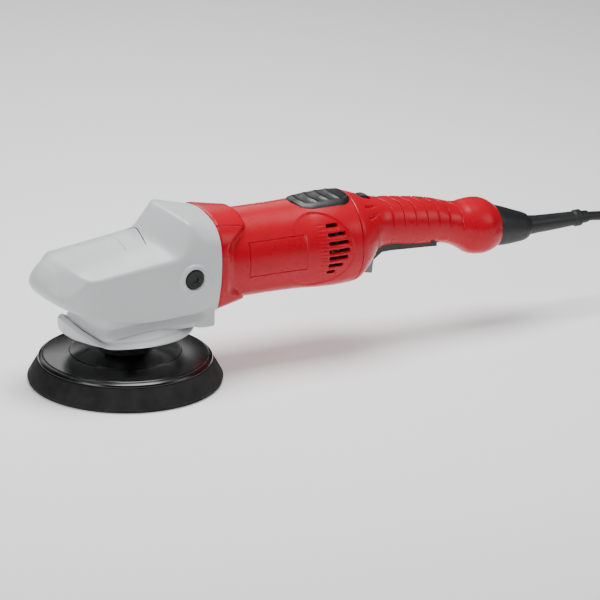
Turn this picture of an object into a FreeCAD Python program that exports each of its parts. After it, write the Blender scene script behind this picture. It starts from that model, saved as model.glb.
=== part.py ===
import FreeCAD, Part
import math
import os

import Sketcher

os.makedirs("parts", exist_ok=True)
doc = FreeCAD.newDocument("DualActionPolisher")

# Frame, in millimetres: the spindle axis is Z, the backing pad's working face is z = 0,
# +X runs from the spindle towards the handle and the cord, and +Z is up.

# ------------------------------------------------------------------ driving dimensions
DIMENSIONS = (
    ("motor_z", 88.5, "height of the motor axis"),
    ("orbit_x", -1.8, "pad axis from the spindle axis, along X"),
    ("orbit_y", -3.6, "pad axis from the spindle axis, along Y"),
    ("face_r", 75.0, "widest radius of the pad"),
    ("face_edge_z", 3.2, "height of the widest radius"),
    ("hook_r", 74.0, "hook-and-loop disc radius"),
    ("hook_t", 2.0, "hook-and-loop disc thickness"),
    ("plate_z", 17.0, "underside of the backing plate"),
    ("plate_r", 66.8, "backing plate radius"),
    ("rim_r", 63.4, "radius of the plate's outer ring line"),
    ("rim_z", 21.0, "height of the plate's outer ring line"),
    ("step_r", 42.5, "radius of the plate's inner ring line"),
    ("step_z", 23.8, "height of the plate's inner ring line"),
    ("hub_r", 18.0, "plate hub radius at its top"),
    ("hub_z", 38.0, "plate hub top"),
    ("insert_r", 12.0, "steel insert radius"),
    ("pin_r", 6.0, "pad journal radius"),
    ("pin_top_z", 51.4, "pad journal top"),
    ("collar_r", 52.0, "gear case collar radius"),
    ("collar_z", 41.0, "gear case collar bottom"),
    ("skirt_r", 46.0, "inside of the collar"),
    ("skirt_z", 49.4, "roof inside the collar"),
    ("neck_y", 34.0, "half width of the neck"),
    ("neck_front", -37.0, "front of the neck"),
    ("neck_z", 43.0, "underside of the neck's rear block"),
    ("cover_z", 56.5, "lower edge of the head cover"),
    ("cover_y", 40.0, "half width of the head cover"),
    ("cover_nose", -78.5, "front of the head cover"),
    ("cover_back", 61.0, "joint between head and motor housing"),
    ("crest_z", 114.5, "crest of the head cover over the spindle"),
    ("hump_z", 137.5, "front edge of the flat on the hump"),
    ("hump_drop", 10.0, "fall of the flat to the joint"),
    ("boss_x", 38.5, "side handle boss, along X"),
    ("boss_z", 86.8, "side handle boss, height"),
    ("boss_r", 11.5, "side handle boss radius"),
    ("gear_r", 31.0, "crown gear radius"),
    ("gear_mean_r", 28.0, "radius where the tooth sizes are given"),
    ("crown_teeth", 36.0, "teeth on the crown gear"),
    ("pinion_teeth", 10.0, "teeth on the pinion"),
    ("barrel_r", 34.8, "motor housing radius at the front"),
    ("vent_r", 36.0, "motor housing radius over the vents"),
    ("housing_back", 184.0, "joint between motor housing and handle"),
    ("wall", 2.8, "housing and handle wall"),
    ("stator_x", 92.0, "front of the laminations"),
    ("stack", 46.0, "length of the laminations"),
    ("stator_r", 31.6, "field core outer radius"),
    ("bore_r", 18.6, "field core bore radius"),
    ("rotor_r", 18.0, "armature core radius"),
    ("shaft_r", 5.0, "armature shaft radius"),
    ("commutator_r", 11.0, "commutator radius"),
    ("running", 0.05, "radial clearance of a running fit"),
    ("dial_x", 198.2, "speed dial axis, along X"),
    ("dial_z", 112.2, "speed dial axis, height"),
    ("dial_r", 9.0, "speed dial radius"),
    ("paddle_y", 10.0, "half width of the paddle"),
    ("pivot_x", 256.0, "paddle pivot, along X"),
    ("pivot_z", 78.0, "paddle pivot, height"),
    ("lever_x", 207.0, "lock-off lever pivot, along X"),
    ("lever_z", 73.0, "lock-off lever pivot, height"),
    ("cord_r", 3.7, "cord radius"),
    ("cord_z", 74.8, "height at which the cord leaves the handle"),
    ("coil_x", 530.0, "centre of the coil, along X"),
    ("coil_y", -51.9, "centre of the coil, along Y"),
    ("coil_mid_r", 44.5, "middle radius of the coil"),
    ("coil_layers", 4.0, "turns on each other"),
    ("coil_rows", 3.0, "turns beside each other"),
)


class Size:
    """A number together with the spreadsheet expression that gives it."""

    def __init__(self, value, text):
        self.value = value
        self.text = text

    @staticmethod
    def of(other):
        if isinstance(other, Size):
            return other
        return Size(float(other), "(%.6f)" % other)

    def join(self, other, sign, value):
        return Size(value, "(%s %s %s)" % (self.text, sign, Size.of(other).text))

    def __add__(self, other):
        return self.join(other, "+", self.value + Size.of(other).value)

    def __sub__(self, other):
        return self.join(other, "-", self.value - Size.of(other).value)

    def __mul__(self, other):
        return self.join(other, "*", self.value * Size.of(other).value)

    def __truediv__(self, other):
        return self.join(other, "/", self.value / Size.of(other).value)

    def __radd__(self, other):
        return Size.of(other) + self

    def __rsub__(self, other):
        return Size.of(other) - self

    def __rmul__(self, other):
        return Size.of(other) * self

    def __rtruediv__(self, other):
        return Size.of(other) / self

    def __neg__(self):
        return Size(0.0, "0") - self


class Sheet:
    """The spreadsheet of driving dimensions; each alias is also an attribute."""

    def __init__(self, rows):
        self.cells = doc.addObject("Spreadsheet::Sheet", "Dims")
        for number, (alias, value, note) in enumerate(rows, start=1):
            self.cells.set("A%d" % number, note)
            self.cells.set("B%d" % number, str(value))
            self.cells.setAlias("B%d" % number, alias)
            setattr(self, alias, Size(value, "Dims." + alias))
        doc.recompute()


D = Sheet(DIMENSIONS)
NODES = []


def node(name, obj):
    """Keeps an object as the solid of one exported node."""
    obj.Label = name
    NODES.append((name, obj))
    return obj


def put(obj, prop, value):
    """Sets a property, through an expression where the value is a Size."""
    if isinstance(value, Size):
        obj.setExpression(prop, value.text)
    else:
        setattr(obj, prop, value)


# ------------------------------------------------------------------ sketches
def constrain_point(sketch, geometry, position, x, y):
    """Ties one point to the sketch's origin by two driving distances."""
    for kind, size in (("DistanceX", Size.of(x)), ("DistanceY", Size.of(y))):
        rule = Sketcher.Constraint(kind, -1, 1, geometry, position, size.value)
        number = sketch.addConstraint(rule)
        sketch.setExpression("Constraints[%d]" % number, size.text)


def constrain_radius(sketch, geometry, radius):
    """Drives the radius of a circle or an arc."""
    number = sketch.addConstraint(Sketcher.Constraint("Radius", geometry, Size.of(radius).value))
    sketch.setExpression("Constraints[%d]" % number, Size.of(radius).text)


def circle(x, y, radius):
    """A closed loop for a sketch: one circle."""
    return ("circle", x, y, radius)


def draw_circle(sketch, x, y, radius):
    centre = FreeCAD.Vector(Size.of(x).value, Size.of(y).value, 0)
    shape = Part.Circle(centre, FreeCAD.Vector(0, 0, 1), Size.of(radius).value)
    geometry = sketch.addGeometry(shape, False)
    constrain_point(sketch, geometry, 3, x, y)
    constrain_radius(sketch, geometry, radius)


def corner_cut(before, corner, after, radius):
    """Tangent points and centre of an arc that rounds one corner."""
    back = (before - corner).normalize()
    ahead = (after - corner).normalize()
    half = back.getAngle(ahead) / 2
    reach = radius / math.tan(half)
    centre = corner + (back + ahead).normalize() * (radius / math.sin(half))
    return corner + back * reach, corner + ahead * reach, centre


def draw_outline(sketch, points):
    """Closed outline; a point's third value, if any, is its corner radius."""
    count = len(points)
    spots = [FreeCAD.Vector(Size.of(p[0]).value, Size.of(p[1]).value, 0) for p in points]
    cuts = []
    for i, point in enumerate(points):
        if len(point) == 2:
            cuts.append((spots[i], spots[i], None))
            continue
        cut = corner_cut(spots[i - 1], spots[i], spots[(i + 1) % count], Size.of(point[2]).value)
        cuts.append(cut)
    lines = []
    for i in range(count):
        edge = Part.LineSegment(cuts[i][1], cuts[(i + 1) % count][0])
        lines.append(sketch.addGeometry(edge, False))
    for i, point in enumerate(points):
        previous = lines[i - 1]
        if len(point) == 2:
            sketch.addConstraint(Sketcher.Constraint("Coincident", previous, 2, lines[i], 1))
            constrain_point(sketch, lines[i], 1, point[0], point[1])
            continue
        start, end, centre = cuts[i]
        turns_left = (spots[i] - spots[i - 1]).cross(spots[(i + 1) % count] - spots[i]).z > 0
        first, second = (start, end) if turns_left else (end, start)
        up = FreeCAD.Vector(0, 0, 1)
        full = Part.Circle(centre, up, (start - centre).Length)
        angles = [math.atan2(v.y - centre.y, v.x - centre.x) for v in (first, second)]
        arc = sketch.addGeometry(Part.ArcOfCircle(full, angles[0], angles[1]), False)
        ends = (1, 2) if turns_left else (2, 1)
        sketch.addConstraint(Sketcher.Constraint("Tangent", previous, 2, arc, ends[0]))
        sketch.addConstraint(Sketcher.Constraint("Tangent", arc, ends[1], lines[i], 1))
        constrain_radius(sketch, arc, point[2])
        corner = sketch.addGeometry(Part.Point(spots[i]), True)
        constrain_point(sketch, corner, 1, point[0], point[1])
        sketch.addConstraint(Sketcher.Constraint("PointOnObject", corner, 1, previous))
        sketch.addConstraint(Sketcher.Constraint("PointOnObject", corner, 1, lines[i]))


def sketch_on(body, name, plane, loops, along=0.0, shift=(0.0, 0.0)):
    """Sketch on the body's own plane, moved along its normal and within it."""
    sketch = body.newObject("Sketcher::SketchObject", name)
    support = [f for f in body.Origin.OriginFeatures if f.Role == plane][0]
    sketch.AttachmentSupport = [(support, "")]
    sketch.MapMode = "FlatFace"
    put(sketch, "AttachmentOffset.Base.x", Size.of(shift[0]))
    put(sketch, "AttachmentOffset.Base.y", Size.of(shift[1]))
    put(sketch, "AttachmentOffset.Base.z", Size.of(along))
    for loop in loops:
        if loop[0] == "circle":
            draw_circle(sketch, *loop[1:])
        else:
            draw_outline(sketch, loop)
    sketch.Visibility = False
    return sketch


# ------------------------------------------------------------------ features
def new_body(name):
    return doc.addObject("PartDesign::Body", name)


def feature(body, kind, name, **settings):
    """Adds one PartDesign feature with its settings."""
    item = body.newObject("PartDesign::" + kind, name)
    for prop, value in settings.items():
        put(item, prop, value)
    return item


def pad(body, name, plane, loops, length, along=0.0, shift=(0.0, 0.0), both=False):
    """Pad of closed loops; both makes it symmetric about the sketch."""
    sketch = sketch_on(body, name + "Sketch", plane, loops, along, shift)
    item = feature(body, "Pad", name, Profile=sketch, Length=Size.of(length))
    if both:
        item.SideType = "Symmetric"
    return item


def pocket(body, name, plane, loops, length=None, along=0.0, shift=(0.0, 0.0), back=False):
    """Pocket of closed loops; without a length it goes through all, both ways."""
    sketch = sketch_on(body, name + "Sketch", plane, loops, along, shift)
    item = feature(body, "Pocket", name, Profile=sketch)
    if length is None:
        item.Type = "ThroughAll"
        item.SideType = "Symmetric"
        return item
    item.Type = "Length"
    put(item, "Length", Size.of(length))
    item.Reversed = back
    return item


def turn(body, name, points, axis="V_Axis", kind="Revolution", height=0.0):
    """Full revolution or groove of an XZ profile about the sketch's own axis."""
    sketch = sketch_on(body, name + "Sketch", "XZ_Plane", [points], 0.0, (0.0, height))
    return feature(body, kind, name, Profile=sketch, ReferenceAxis=(sketch, [axis]), Angle=360.0)


def vertical(name, points, at=None):
    """A piece turned about the spindle axis, or about a parallel axis at a point."""
    body = new_body(name)
    turn(body, name + "Turn", points)
    if at:
        put(body, "Placement.Base.x", at[0])
        put(body, "Placement.Base.y", at[1])
    return node(name, body)


def lengthwise(name, points):
    """A piece turned about the motor axis."""
    body = new_body(name)
    turn(body, name + "Turn", points, "H_Axis", height=D.motor_z)
    return node(name, body)


def ring(start, end, inner, outer):
    """Profile of a plain ring about the lengthwise axis."""
    return [(start, inner), (end, inner), (end, outer), (start, outer)]


def washer(low, high, inner, outer):
    """Profile of a plain ring about the vertical axis."""
    return [(inner, low), (outer, low), (outer, high), (inner, high)]


def box(x, y, z):
    """Part box between a low and a high value along each axis."""
    item = doc.addObject("Part::Box", "Block")
    for prop, span, place in (("Length", x, "x"), ("Width", y, "y"), ("Height", z, "z")):
        low, high = Size.of(span[0]), Size.of(span[1])
        put(item, prop, high - low)
        put(item, "Placement.Base." + place, low)
    return item


def rod(centre, axis, radius, start, end):
    """Part cylinder along X or Y between two values, through a centre in the other two."""
    item = doc.addObject("Part::Cylinder", "Rod")
    put(item, "Radius", Size.of(radius))
    put(item, "Height", Size.of(end) - start)
    if axis == "x":
        item.Placement.Rotation = FreeCAD.Rotation(FreeCAD.Vector(0, 1, 0), 90)
        spot = (start, centre[0], centre[1])
    else:
        item.Placement.Rotation = FreeCAD.Rotation(FreeCAD.Vector(1, 0, 0), -90)
        spot = (centre[0], start, centre[1])
    for place, value in zip("xyz", spot):
        put(item, "Placement.Base." + place, Size.of(value))
    return item


def combine(kind, name, shapes):
    """Part boolean: Cut takes a base and a tool, Fuse and Common take any number."""
    if kind == "Cut":
        item = doc.addObject("Part::Cut", name)
        item.Base, item.Tool = shapes
        return item
    item = doc.addObject("Part::Multi" + kind, name)
    item.Shapes = list(shapes)
    return item


def screws(name, plane, centres, start, shank, head, shift=(0.0, 0.0)):
    """Group of equal socket screws: shank is (radius, length), head is (radius, height)."""
    body = new_body(name)
    circles = [circle(x, y, shank[0]) for x, y in centres]
    pad(body, name + "Shank", plane, circles, shank[1], start, shift)
    circles = [circle(x, y, head[0]) for x, y in centres]
    pad(body, name + "Head", plane, circles, head[1], Size.of(start) + shank[1], shift)
    hexes = [hexagon(x, y, head[0] * 0.55) for x, y in centres]
    top = Size.of(start) + shank[1] + head[1]
    pocket(body, name + "Socket", plane, hexes, head[1] * 0.6, top, shift)
    return node(name, body)


def hexagon(x, y, radius):
    """Six corners around a centre."""
    angles = [math.radians(60 * k) for k in range(6)]
    return [(Size.of(x) + radius * math.cos(a), Size.of(y) + radius * math.sin(a)) for a in angles]


def slot(x, y, half_length, half_width, angle):
    """A rounded slot centred on a point; the angle in degrees is that of its long side."""
    along = (math.cos(math.radians(angle)), math.sin(math.radians(angle)))
    across = (-along[1], along[0])
    corner = half_width - 0.1
    corners = []
    for u, v in ((-1, -1), (1, -1), (1, 1), (-1, 1)):
        u, v = u * half_length, v * half_width
        corners.append((x + u * along[0] + v * across[0], y + u * along[1] + v * across[1], corner))
    return corners


def around(count, radius, first=0.0):
    """Centres evenly spaced round the axis."""
    angles = [math.radians(first + 360.0 * k / count) for k in range(count)]
    return [(radius * math.cos(a), radius * math.sin(a)) for a in angles]


# ------------------------------------------------------------------ backing pad
def make_pad():
    """Hook disc, foam skirt, hard plate and steel journal, all about the pad's own axis."""
    at = (D.orbit_x, D.orbit_y)
    hole = D.insert_r + 8
    vertical("pad_hook_disc", washer(0, D.hook_t, 0, D.hook_r), at)
    foam = [(hole, D.hook_t), (D.hook_r, D.hook_t), (D.face_r, D.face_edge_z),
            (D.plate_r, D.plate_z), (hole, D.plate_z)]
    vertical("pad_foam", foam, at)
    plate = [(D.insert_r, 10), (hole - 0.3, 10), (hole - 0.3, D.plate_z), (D.plate_r, D.plate_z),
             (D.plate_r - 0.6, D.plate_z + 2), (D.rim_r, D.rim_z), (D.step_r, D.step_z),
             (D.hub_r + 3, D.step_z + 3.4), (D.hub_r, D.hub_z), (D.insert_r, D.hub_z)]
    vertical("backing_plate", plate, at)
    body = new_body("pad_journal")
    journal = [(0, 12), (D.insert_r, 12), (D.insert_r, D.hub_z), (8.5, D.hub_z), (8.5, 44.5),
               (D.pin_r, 44.5), (D.pin_r, D.pin_top_z), (0, D.pin_top_z)]
    turn(body, "JournalTurn", journal)
    pocket(body, "JournalSocket", "XY_Plane", [hexagon(0, 0, 5.0)], 8, 12, back=True)
    put(body, "Placement.Base.x", D.orbit_x)
    put(body, "Placement.Base.y", D.orbit_y)
    node("pad_journal", body)


# ------------------------------------------------------------------ spindle
CARRIER_Z = (44.6, 54.0)
RACE_Z = (44.9, 51.9)
RACE_R = 13.0
WEIGHT_R = 42.0
WEIGHT_Z = (44.6, 48.4)
CARRIER_R = 26.0
LOCK_PIN_Y = 16.0
LOCK_PIN_R = 2.2


def make_spindle():
    """Eccentric spindle with its counterweight, the pad bearing and the crown gear."""
    body = new_body("eccentric_spindle")
    profile = [(0, CARRIER_Z[0]), (CARRIER_R, CARRIER_Z[0]), (CARRIER_R, CARRIER_Z[1]),
               (16.5, CARRIER_Z[1]), (16.5, 59.5), (10, 59.5), (10, 70.2), (9, 70.2), (9, 84),
               (5, 84), (5, 101), (0, 101)]
    turn(body, "SpindleTurn", profile)
    seat = [circle(D.orbit_x, D.orbit_y, RACE_R)]
    pocket(body, "RaceSeat", "XY_Plane", seat, RACE_Z[1] - CARRIER_Z[0], CARRIER_Z[0], back=True)
    node("eccentric_spindle", body)

    race = washer(RACE_Z[0], RACE_Z[1], D.pin_r + D.running, RACE_R)
    vertical("pad_bearing", race, (D.orbit_x, D.orbit_y))

    body = new_body("counterweight")
    turn(body, "WeightTurn", washer(WEIGHT_Z[0], WEIGHT_Z[1], CARRIER_R, WEIGHT_R))
    # the weight keeps the half of the ring that lies opposite the pad's axis
    lean = math.atan2(D.orbit_y.value, D.orbit_x.value)
    ahead = (math.cos(lean), math.sin(lean))
    across = (-ahead[1], ahead[0])
    reach = 60.0
    inset = -9.0
    half = [(inset, -reach), (reach, -reach), (reach, reach), (inset, reach)]
    loop = [(u * ahead[0] + v * across[0], u * ahead[1] + v * across[1]) for u, v in half]
    pocket(body, "WeightCut", "XY_Plane", [loop])
    node("counterweight", body)
    make_crown_gear()


def make_crown_gear():
    """Bevel ring: every tooth gap tapers to the point where both axes meet."""
    body = new_body("crown_gear")
    slope = D.crown_teeth / D.pinion_teeth
    mean_pitch = D.gear_mean_r / slope
    addendum = 1.3
    root = mean_pitch + 1.6

    def height(radius, depth):
        return D.motor_z - Size.of(radius) / D.gear_mean_r * depth

    inner_r = 22.0
    tip = mean_pitch - addendum
    profile = [(9, 71.2), (D.gear_r - 1, 71.2), (D.gear_r, 72.5), (D.gear_r, height(D.gear_r, tip)),
               (inner_r, height(inner_r, tip)), (inner_r - 1, 78.5), (13, 78.5), (12, 83.6),
               (9, 83.6)]
    turn(body, "CrownTurn", profile)
    ends = []
    for side, radius in (("Inner", 20.5), ("Outer", 32.5)):
        scale = radius / D.gear_mean_r
        low = D.motor_z - scale * root
        high = D.motor_z - scale * 6.0
        gap = [(-0.85 * scale, low), (0.85 * scale, low), (2.0 * scale, high), (-2.0 * scale, high)]
        ends.append(sketch_on(body, "CrownGap" + side, "YZ_Plane", [gap], radius))
    first = feature(body, "SubtractiveLoft", "CrownGap", Profile=ends[0], Ruled=True)
    first.Sections = [(ends[1], [""])]
    pattern = feature(body, "PolarPattern", "CrownGaps", Angle=360.0)
    pattern.Originals = [first]
    vertical_axis = [f for f in body.Origin.OriginFeatures if f.Role == "Z_Axis"][0]
    pattern.Axis = (vertical_axis, [""])
    body.Tip = pattern
    put(pattern, "Occurrences", D.crown_teeth)
    # long slots let the pin drop in while the gear still creeps round
    slots = []
    for k, (x, y) in enumerate(around(8, LOCK_PIN_Y, 90)):
        slots.append(slot(x, y, LOCK_PIN_R + 2.4, LOCK_PIN_R + 0.5, 45 * k))
    pocket(body, "LockSlots", "XY_Plane", slots, 5, 79)
    node("crown_gear", body)


# ------------------------------------------------------------------ gear case
def make_gear_case():
    """Cast case: collar, neck, gear housing, upper bearing boss and motor flange."""
    body = new_body("gear_case")
    collar = [(D.skirt_r, D.collar_z), (D.collar_r - 1.5, D.collar_z), (D.collar_r, D.collar_z + 1.5),
              (D.collar_r, D.collar_z + 6), (D.collar_r - 1.4, D.collar_z + 8.4),
              (D.collar_r - 5, D.collar_z + 10.4), (30, D.collar_z + 12.4), (30, D.skirt_z),
              (D.skirt_r, D.skirt_z)]
    turn(body, "Collar", collar)
    back = D.cover_back - 1.5
    neck = [(D.neck_front, -D.neck_y, 13), (back, -D.neck_y, 6), (back, D.neck_y, 6),
            (D.neck_front, D.neck_y, 13)]
    pad(body, "Neck", "XY_Plane", [neck], D.cover_z - D.neck_z + 3, D.neck_z)
    half = 34.3
    plan = [(-35, -half, 24), (D.cover_back, -half), (D.cover_back, half), (-35, half, 24)]
    pad(body, "GearHousing", "XY_Plane", [plan], 32, 59)
    pad(body, "TopBoss", "XY_Plane", [circle(0, 0, 22)], 13, 90.5)
    centre = (0.0, D.motor_z)
    pad(body, "PinionBoss", "YZ_Plane", [circle(0, 0, 15)], 20, 15, centre)
    barrel = D.cover_back - 34
    pad(body, "Barrel", "YZ_Plane", [circle(0, 0, 34.4)], barrel, 34, centre)
    cavity = [(0, D.collar_z - 1), (D.skirt_r, D.collar_z - 1), (D.skirt_r, D.skirt_z),
              (31, D.skirt_z), (31, 57), (21, 57), (21, 69.7), (32.5, 69.7), (32.5, 84.2), (8, 84.2),
              (8, 91), (13, 91), (13, 102), (0, 102)]
    turn(body, "Cavity", cavity, kind="Groove")
    pocket(body, "PinionRoom", "YZ_Plane", [circle(0, 0, 12)], 31, 16, centre, True)
    pocket(body, "FrontSeat", "YZ_Plane", [circle(0, 0, 16)], 11, 46, centre, True)
    pocket(body, "RearMouth", "YZ_Plane", [circle(0, 0, 26)], 5, 57, centre, True)
    pin_hole = [circle(0, LOCK_PIN_Y, LOCK_PIN_R + 0.3)]
    pocket(body, "LockPinHole", "XY_Plane", pin_hole, 22, 83, back=True)
    taps = [circle(x, y, 2.1) for x, y in around(4, 26, 45)]
    pocket(body, "RetainerTaps", "XY_Plane", taps, 10, 57, back=True)
    flange = [circle(x, y, 2.1) for x, y in around(4, 30, 45)]
    pocket(body, "FlangeHoles", "YZ_Plane", flange, 14, 48, centre, True)
    heads = [circle(x, y, 3.7) for x, y in around(4, 30, 45)]
    pocket(body, "FlangeHeads", "YZ_Plane", heads, 20.5, 33.4, centre, True)
    side = [circle(D.boss_x, D.boss_z, 4.2)]
    pocket(body, "SideTaps", "XZ_Plane", side)
    node("gear_case", body)
    screws("housing_screws", "YZ_Plane", around(4, 30, 45), -65.5, (2.0, 11.6), (3.5, 4.0), centre)
    NODES[-1][1].Placement.Rotation = FreeCAD.Rotation(FreeCAD.Vector(0, 0, 1), 180)


def make_bearings():
    """Ball bearings as closed rings, and what holds the spindle's lower one."""
    vertical("spindle_bearing", washer(60.1, 69.6, 10 + D.running, 21))
    vertical("upper_bearing", washer(91.2, 100.2, 5 + D.running, 13))
    body = new_body("bearing_retainer")
    turn(body, "RetainerTurn", washer(54.4, 57, 17.5, 30.6))
    holes = [circle(x, y, 3.7) for x, y in around(4, 26, 45)]
    pocket(body, "RetainerHoles", "XY_Plane", holes)
    node("bearing_retainer", body)
    spots = [(x, -y) for x, y in around(4, 26, 45)]
    screws("retainer_screws", "XY_Plane", spots, -66, (2.0, 9.2), (3.6, 2.2))
    NODES[-1][1].Placement.Rotation = FreeCAD.Rotation(FreeCAD.Vector(1, 0, 0), 180)
    lengthwise("front_motor_bearing", ring(46.6, 56.6, 6 + D.running, 16))
    lengthwise("rear_motor_bearing", ring(165.2, 172.2, 4 + D.running, 11))


# ------------------------------------------------------------------ head cover
COVER_ROOM_X = -55.0
COVER_SIDE = 37.0
BUTTON_X = (-5.0, 11.0)
BUTTON_Y = 19.0
BUTTON_Z = 107.2


def cut_roof(body, name):
    """Cuts everything above the crowned top, which falls towards the nose."""
    side = 60.0
    slope = 0.58
    apex = D.crest_z + 7.0
    low = apex - side * slope
    loop = [(-side, low), (0.0, apex, 45.0), (side, low), (side, 160.0), (-side, 160.0)]
    item = pocket(body, name, "YZ_Plane", [loop])
    sketch = item.Profile[0]
    tilt = FreeCAD.Rotation(FreeCAD.Vector(1, 0, 0), -7.0)
    sketch.AttachmentOffset = FreeCAD.Placement(FreeCAD.Vector(0, 0, 0), tilt)
    for place in "xyz":
        sketch.setExpression("AttachmentOffset.Base." + place, None)
    return item


def make_head_cover():
    """Light shell over the gear case: a crowned nose, a hump with a flat and side bosses."""
    body = new_body("head_cover")
    nose = D.cover_nose
    front_y = 25.0
    corner_x = -46.0
    plan = [(nose, -front_y, 24), (corner_x, -D.cover_y, 22), (D.cover_back, -D.cover_y),
            (D.cover_back, D.cover_y), (corner_x, D.cover_y, 22), (nose, front_y, 24)]
    pad(body, "CoverPlan", "XY_Plane", [plan], 70, D.cover_z)
    cut_roof(body, "Roof")

    sections = []
    hump_base = 98.0
    for name, level, front, half, corner in (("Low", hump_base, -18.0, D.cover_y, 38.0),
                                             ("High", 139.0, 22.0, 36.0, 24.0)):
        loop = [(front, -half, corner), (D.cover_back, -half), (D.cover_back, half),
                (front, half, corner)]
        sections.append(sketch_on(body, "Hump" + name, "XY_Plane", [loop], level))
    hump = feature(body, "AdditiveLoft", "Hump", Profile=sections[0], Ruled=True)
    hump.Sections = [(sections[1], [""])]

    far = 95.0
    top = D.hump_z
    flat_end = D.cover_back + 8
    fall = top - D.hump_drop * 1.2
    flat = [(-far, top + 0.5), (22.0, top + 0.5), (flat_end, fall), (flat_end, 160.0), (-far, 160.0)]
    pocket(body, "Flat", "XZ_Plane", [flat])
    under = [(-far, 40.0), (-50.0, 40.0), (-50.0, D.cover_z), (-65.0, 61.0, 14.0),
             (nose, 84.0, 20.0), (-far, 90.0)]
    pocket(body, "NoseUnder", "XZ_Plane", [under])
    brow = [(-far, 86.0), (nose - 0.2, 86.0), (nose + 1.5, 102.0, 12.0), (-52.0, 110.5), (-52.0, 150.0),
            (-far, 150.0)]
    pocket(body, "NoseBrow", "XZ_Plane", [brow])
    boss = [circle(D.boss_x, D.boss_z, D.boss_r)]
    pad(body, "Bosses", "XZ_Plane", boss, (D.cover_y + 2.6) * 2, both=True)

    room = [(COVER_ROOM_X, -COVER_SIDE, 24), (D.cover_back, -COVER_SIDE),
            (D.cover_back, COVER_SIDE), (COVER_ROOM_X, COVER_SIDE, 24)]
    pocket(body, "CaseRoom", "XY_Plane", [room], 91.4 - D.cover_z, D.cover_z, back=True)
    pocket(body, "BossRoom", "XY_Plane", [circle(0, 0, 22.4)], 20, 83.8, back=True)
    centre = (0.0, D.motor_z)
    pocket(body, "PinionBossRoom", "YZ_Plane", [circle(0, 0, 15.3)], 20, 14, centre, True)
    barrel = [circle(0, 0, 34.7)]
    pocket(body, "BarrelRoom", "YZ_Plane", barrel, D.cover_back - 33.6, 33.6, centre, True)
    front, rear = BUTTON_X
    window = [(front, -BUTTON_Y, 2), (rear, -BUTTON_Y, 2), (rear, BUTTON_Y, 2), (front, BUTTON_Y, 2)]
    pocket(body, "ButtonWindow", "XY_Plane", [window], 40, 100, back=True)
    screw = [circle(D.boss_x, D.boss_z, 8.2)]
    pocket(body, "ScrewWells", "XZ_Plane", screw)
    node("head_cover", body)
    make_lock_button()
    make_boss_screws()


def make_lock_button():
    """Spindle lock: a flush button in the crown and the pin under it."""
    gap = 0.35
    front, rear = BUTTON_X
    half = BUTTON_Y - gap
    body = new_body("lock_button")
    loop = [(front + gap, -half, 1.7), (rear - gap, -half, 1.7), (rear - gap, half, 1.7),
            (front + gap, half, 1.7)]
    pad(body, "ButtonPad", "XY_Plane", [loop], 15, BUTTON_Z)
    cut_roof(body, "ButtonRoof")
    node("lock_button", body)
    body = new_body("lock_pin")
    foot = 80.2
    pad(body, "LockPin", "XY_Plane", [circle(0, LOCK_PIN_Y, LOCK_PIN_R)], BUTTON_Z - foot, foot)
    node("lock_pin", body)


def make_boss_screws():
    """Black star-socket screws that close the two side handle bosses."""
    body = new_body("boss_screws")
    head = (D.cover_y.value - 4.6, D.cover_y.value + 1.2)
    for side, sign in (("Left", 1.0), ("Right", -1.0)):
        # the sketch's normal is -Y, so the left one is drawn at minus its distance
        start = -sign * head[1]
        pad(body, side + "Head", "XZ_Plane", [circle(D.boss_x, D.boss_z, 7.8)], 5.8,
            start if sign > 0 else start - 5.8)
        shank = 26.0
        inner = -sign * head[0]
        pad(body, side + "Shank", "XZ_Plane", [circle(D.boss_x, D.boss_z, 4.0)], head[0] - shank,
            inner if sign > 0 else inner - (head[0] - shank))
        star = star_loop(D.boss_x, D.boss_z, 3.6, 2.5)
        pocket(body, side + "Socket", "XZ_Plane", [star], 3.4, start, back=sign > 0)
    node("boss_screws", body)


def star_loop(x, y, outer, inner):
    """Six-pointed socket outline."""
    loop = []
    for k in range(12):
        reach = outer if k % 2 == 0 else inner
        angle = math.radians(30 * k)
        loop.append((Size.of(x) + reach * math.cos(angle), Size.of(y) + reach * math.sin(angle)))
    return loop


# ------------------------------------------------------------------ motor housing
HOUSING_FRONT = 61.3
VENTS = ((20.4, 164.8), (14.3, 170.2), (8.0, 172.4), (1.8, 172.8), (-3.6, 171.4), (-9.8, 167.6),
         (-15.6, 161.8))
VENT_START = 154.4
VENT_HEIGHT = 3.6
LABEL_X = (88.4, 136.4)
LABEL_Z = (78.6, 105.4)


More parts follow.
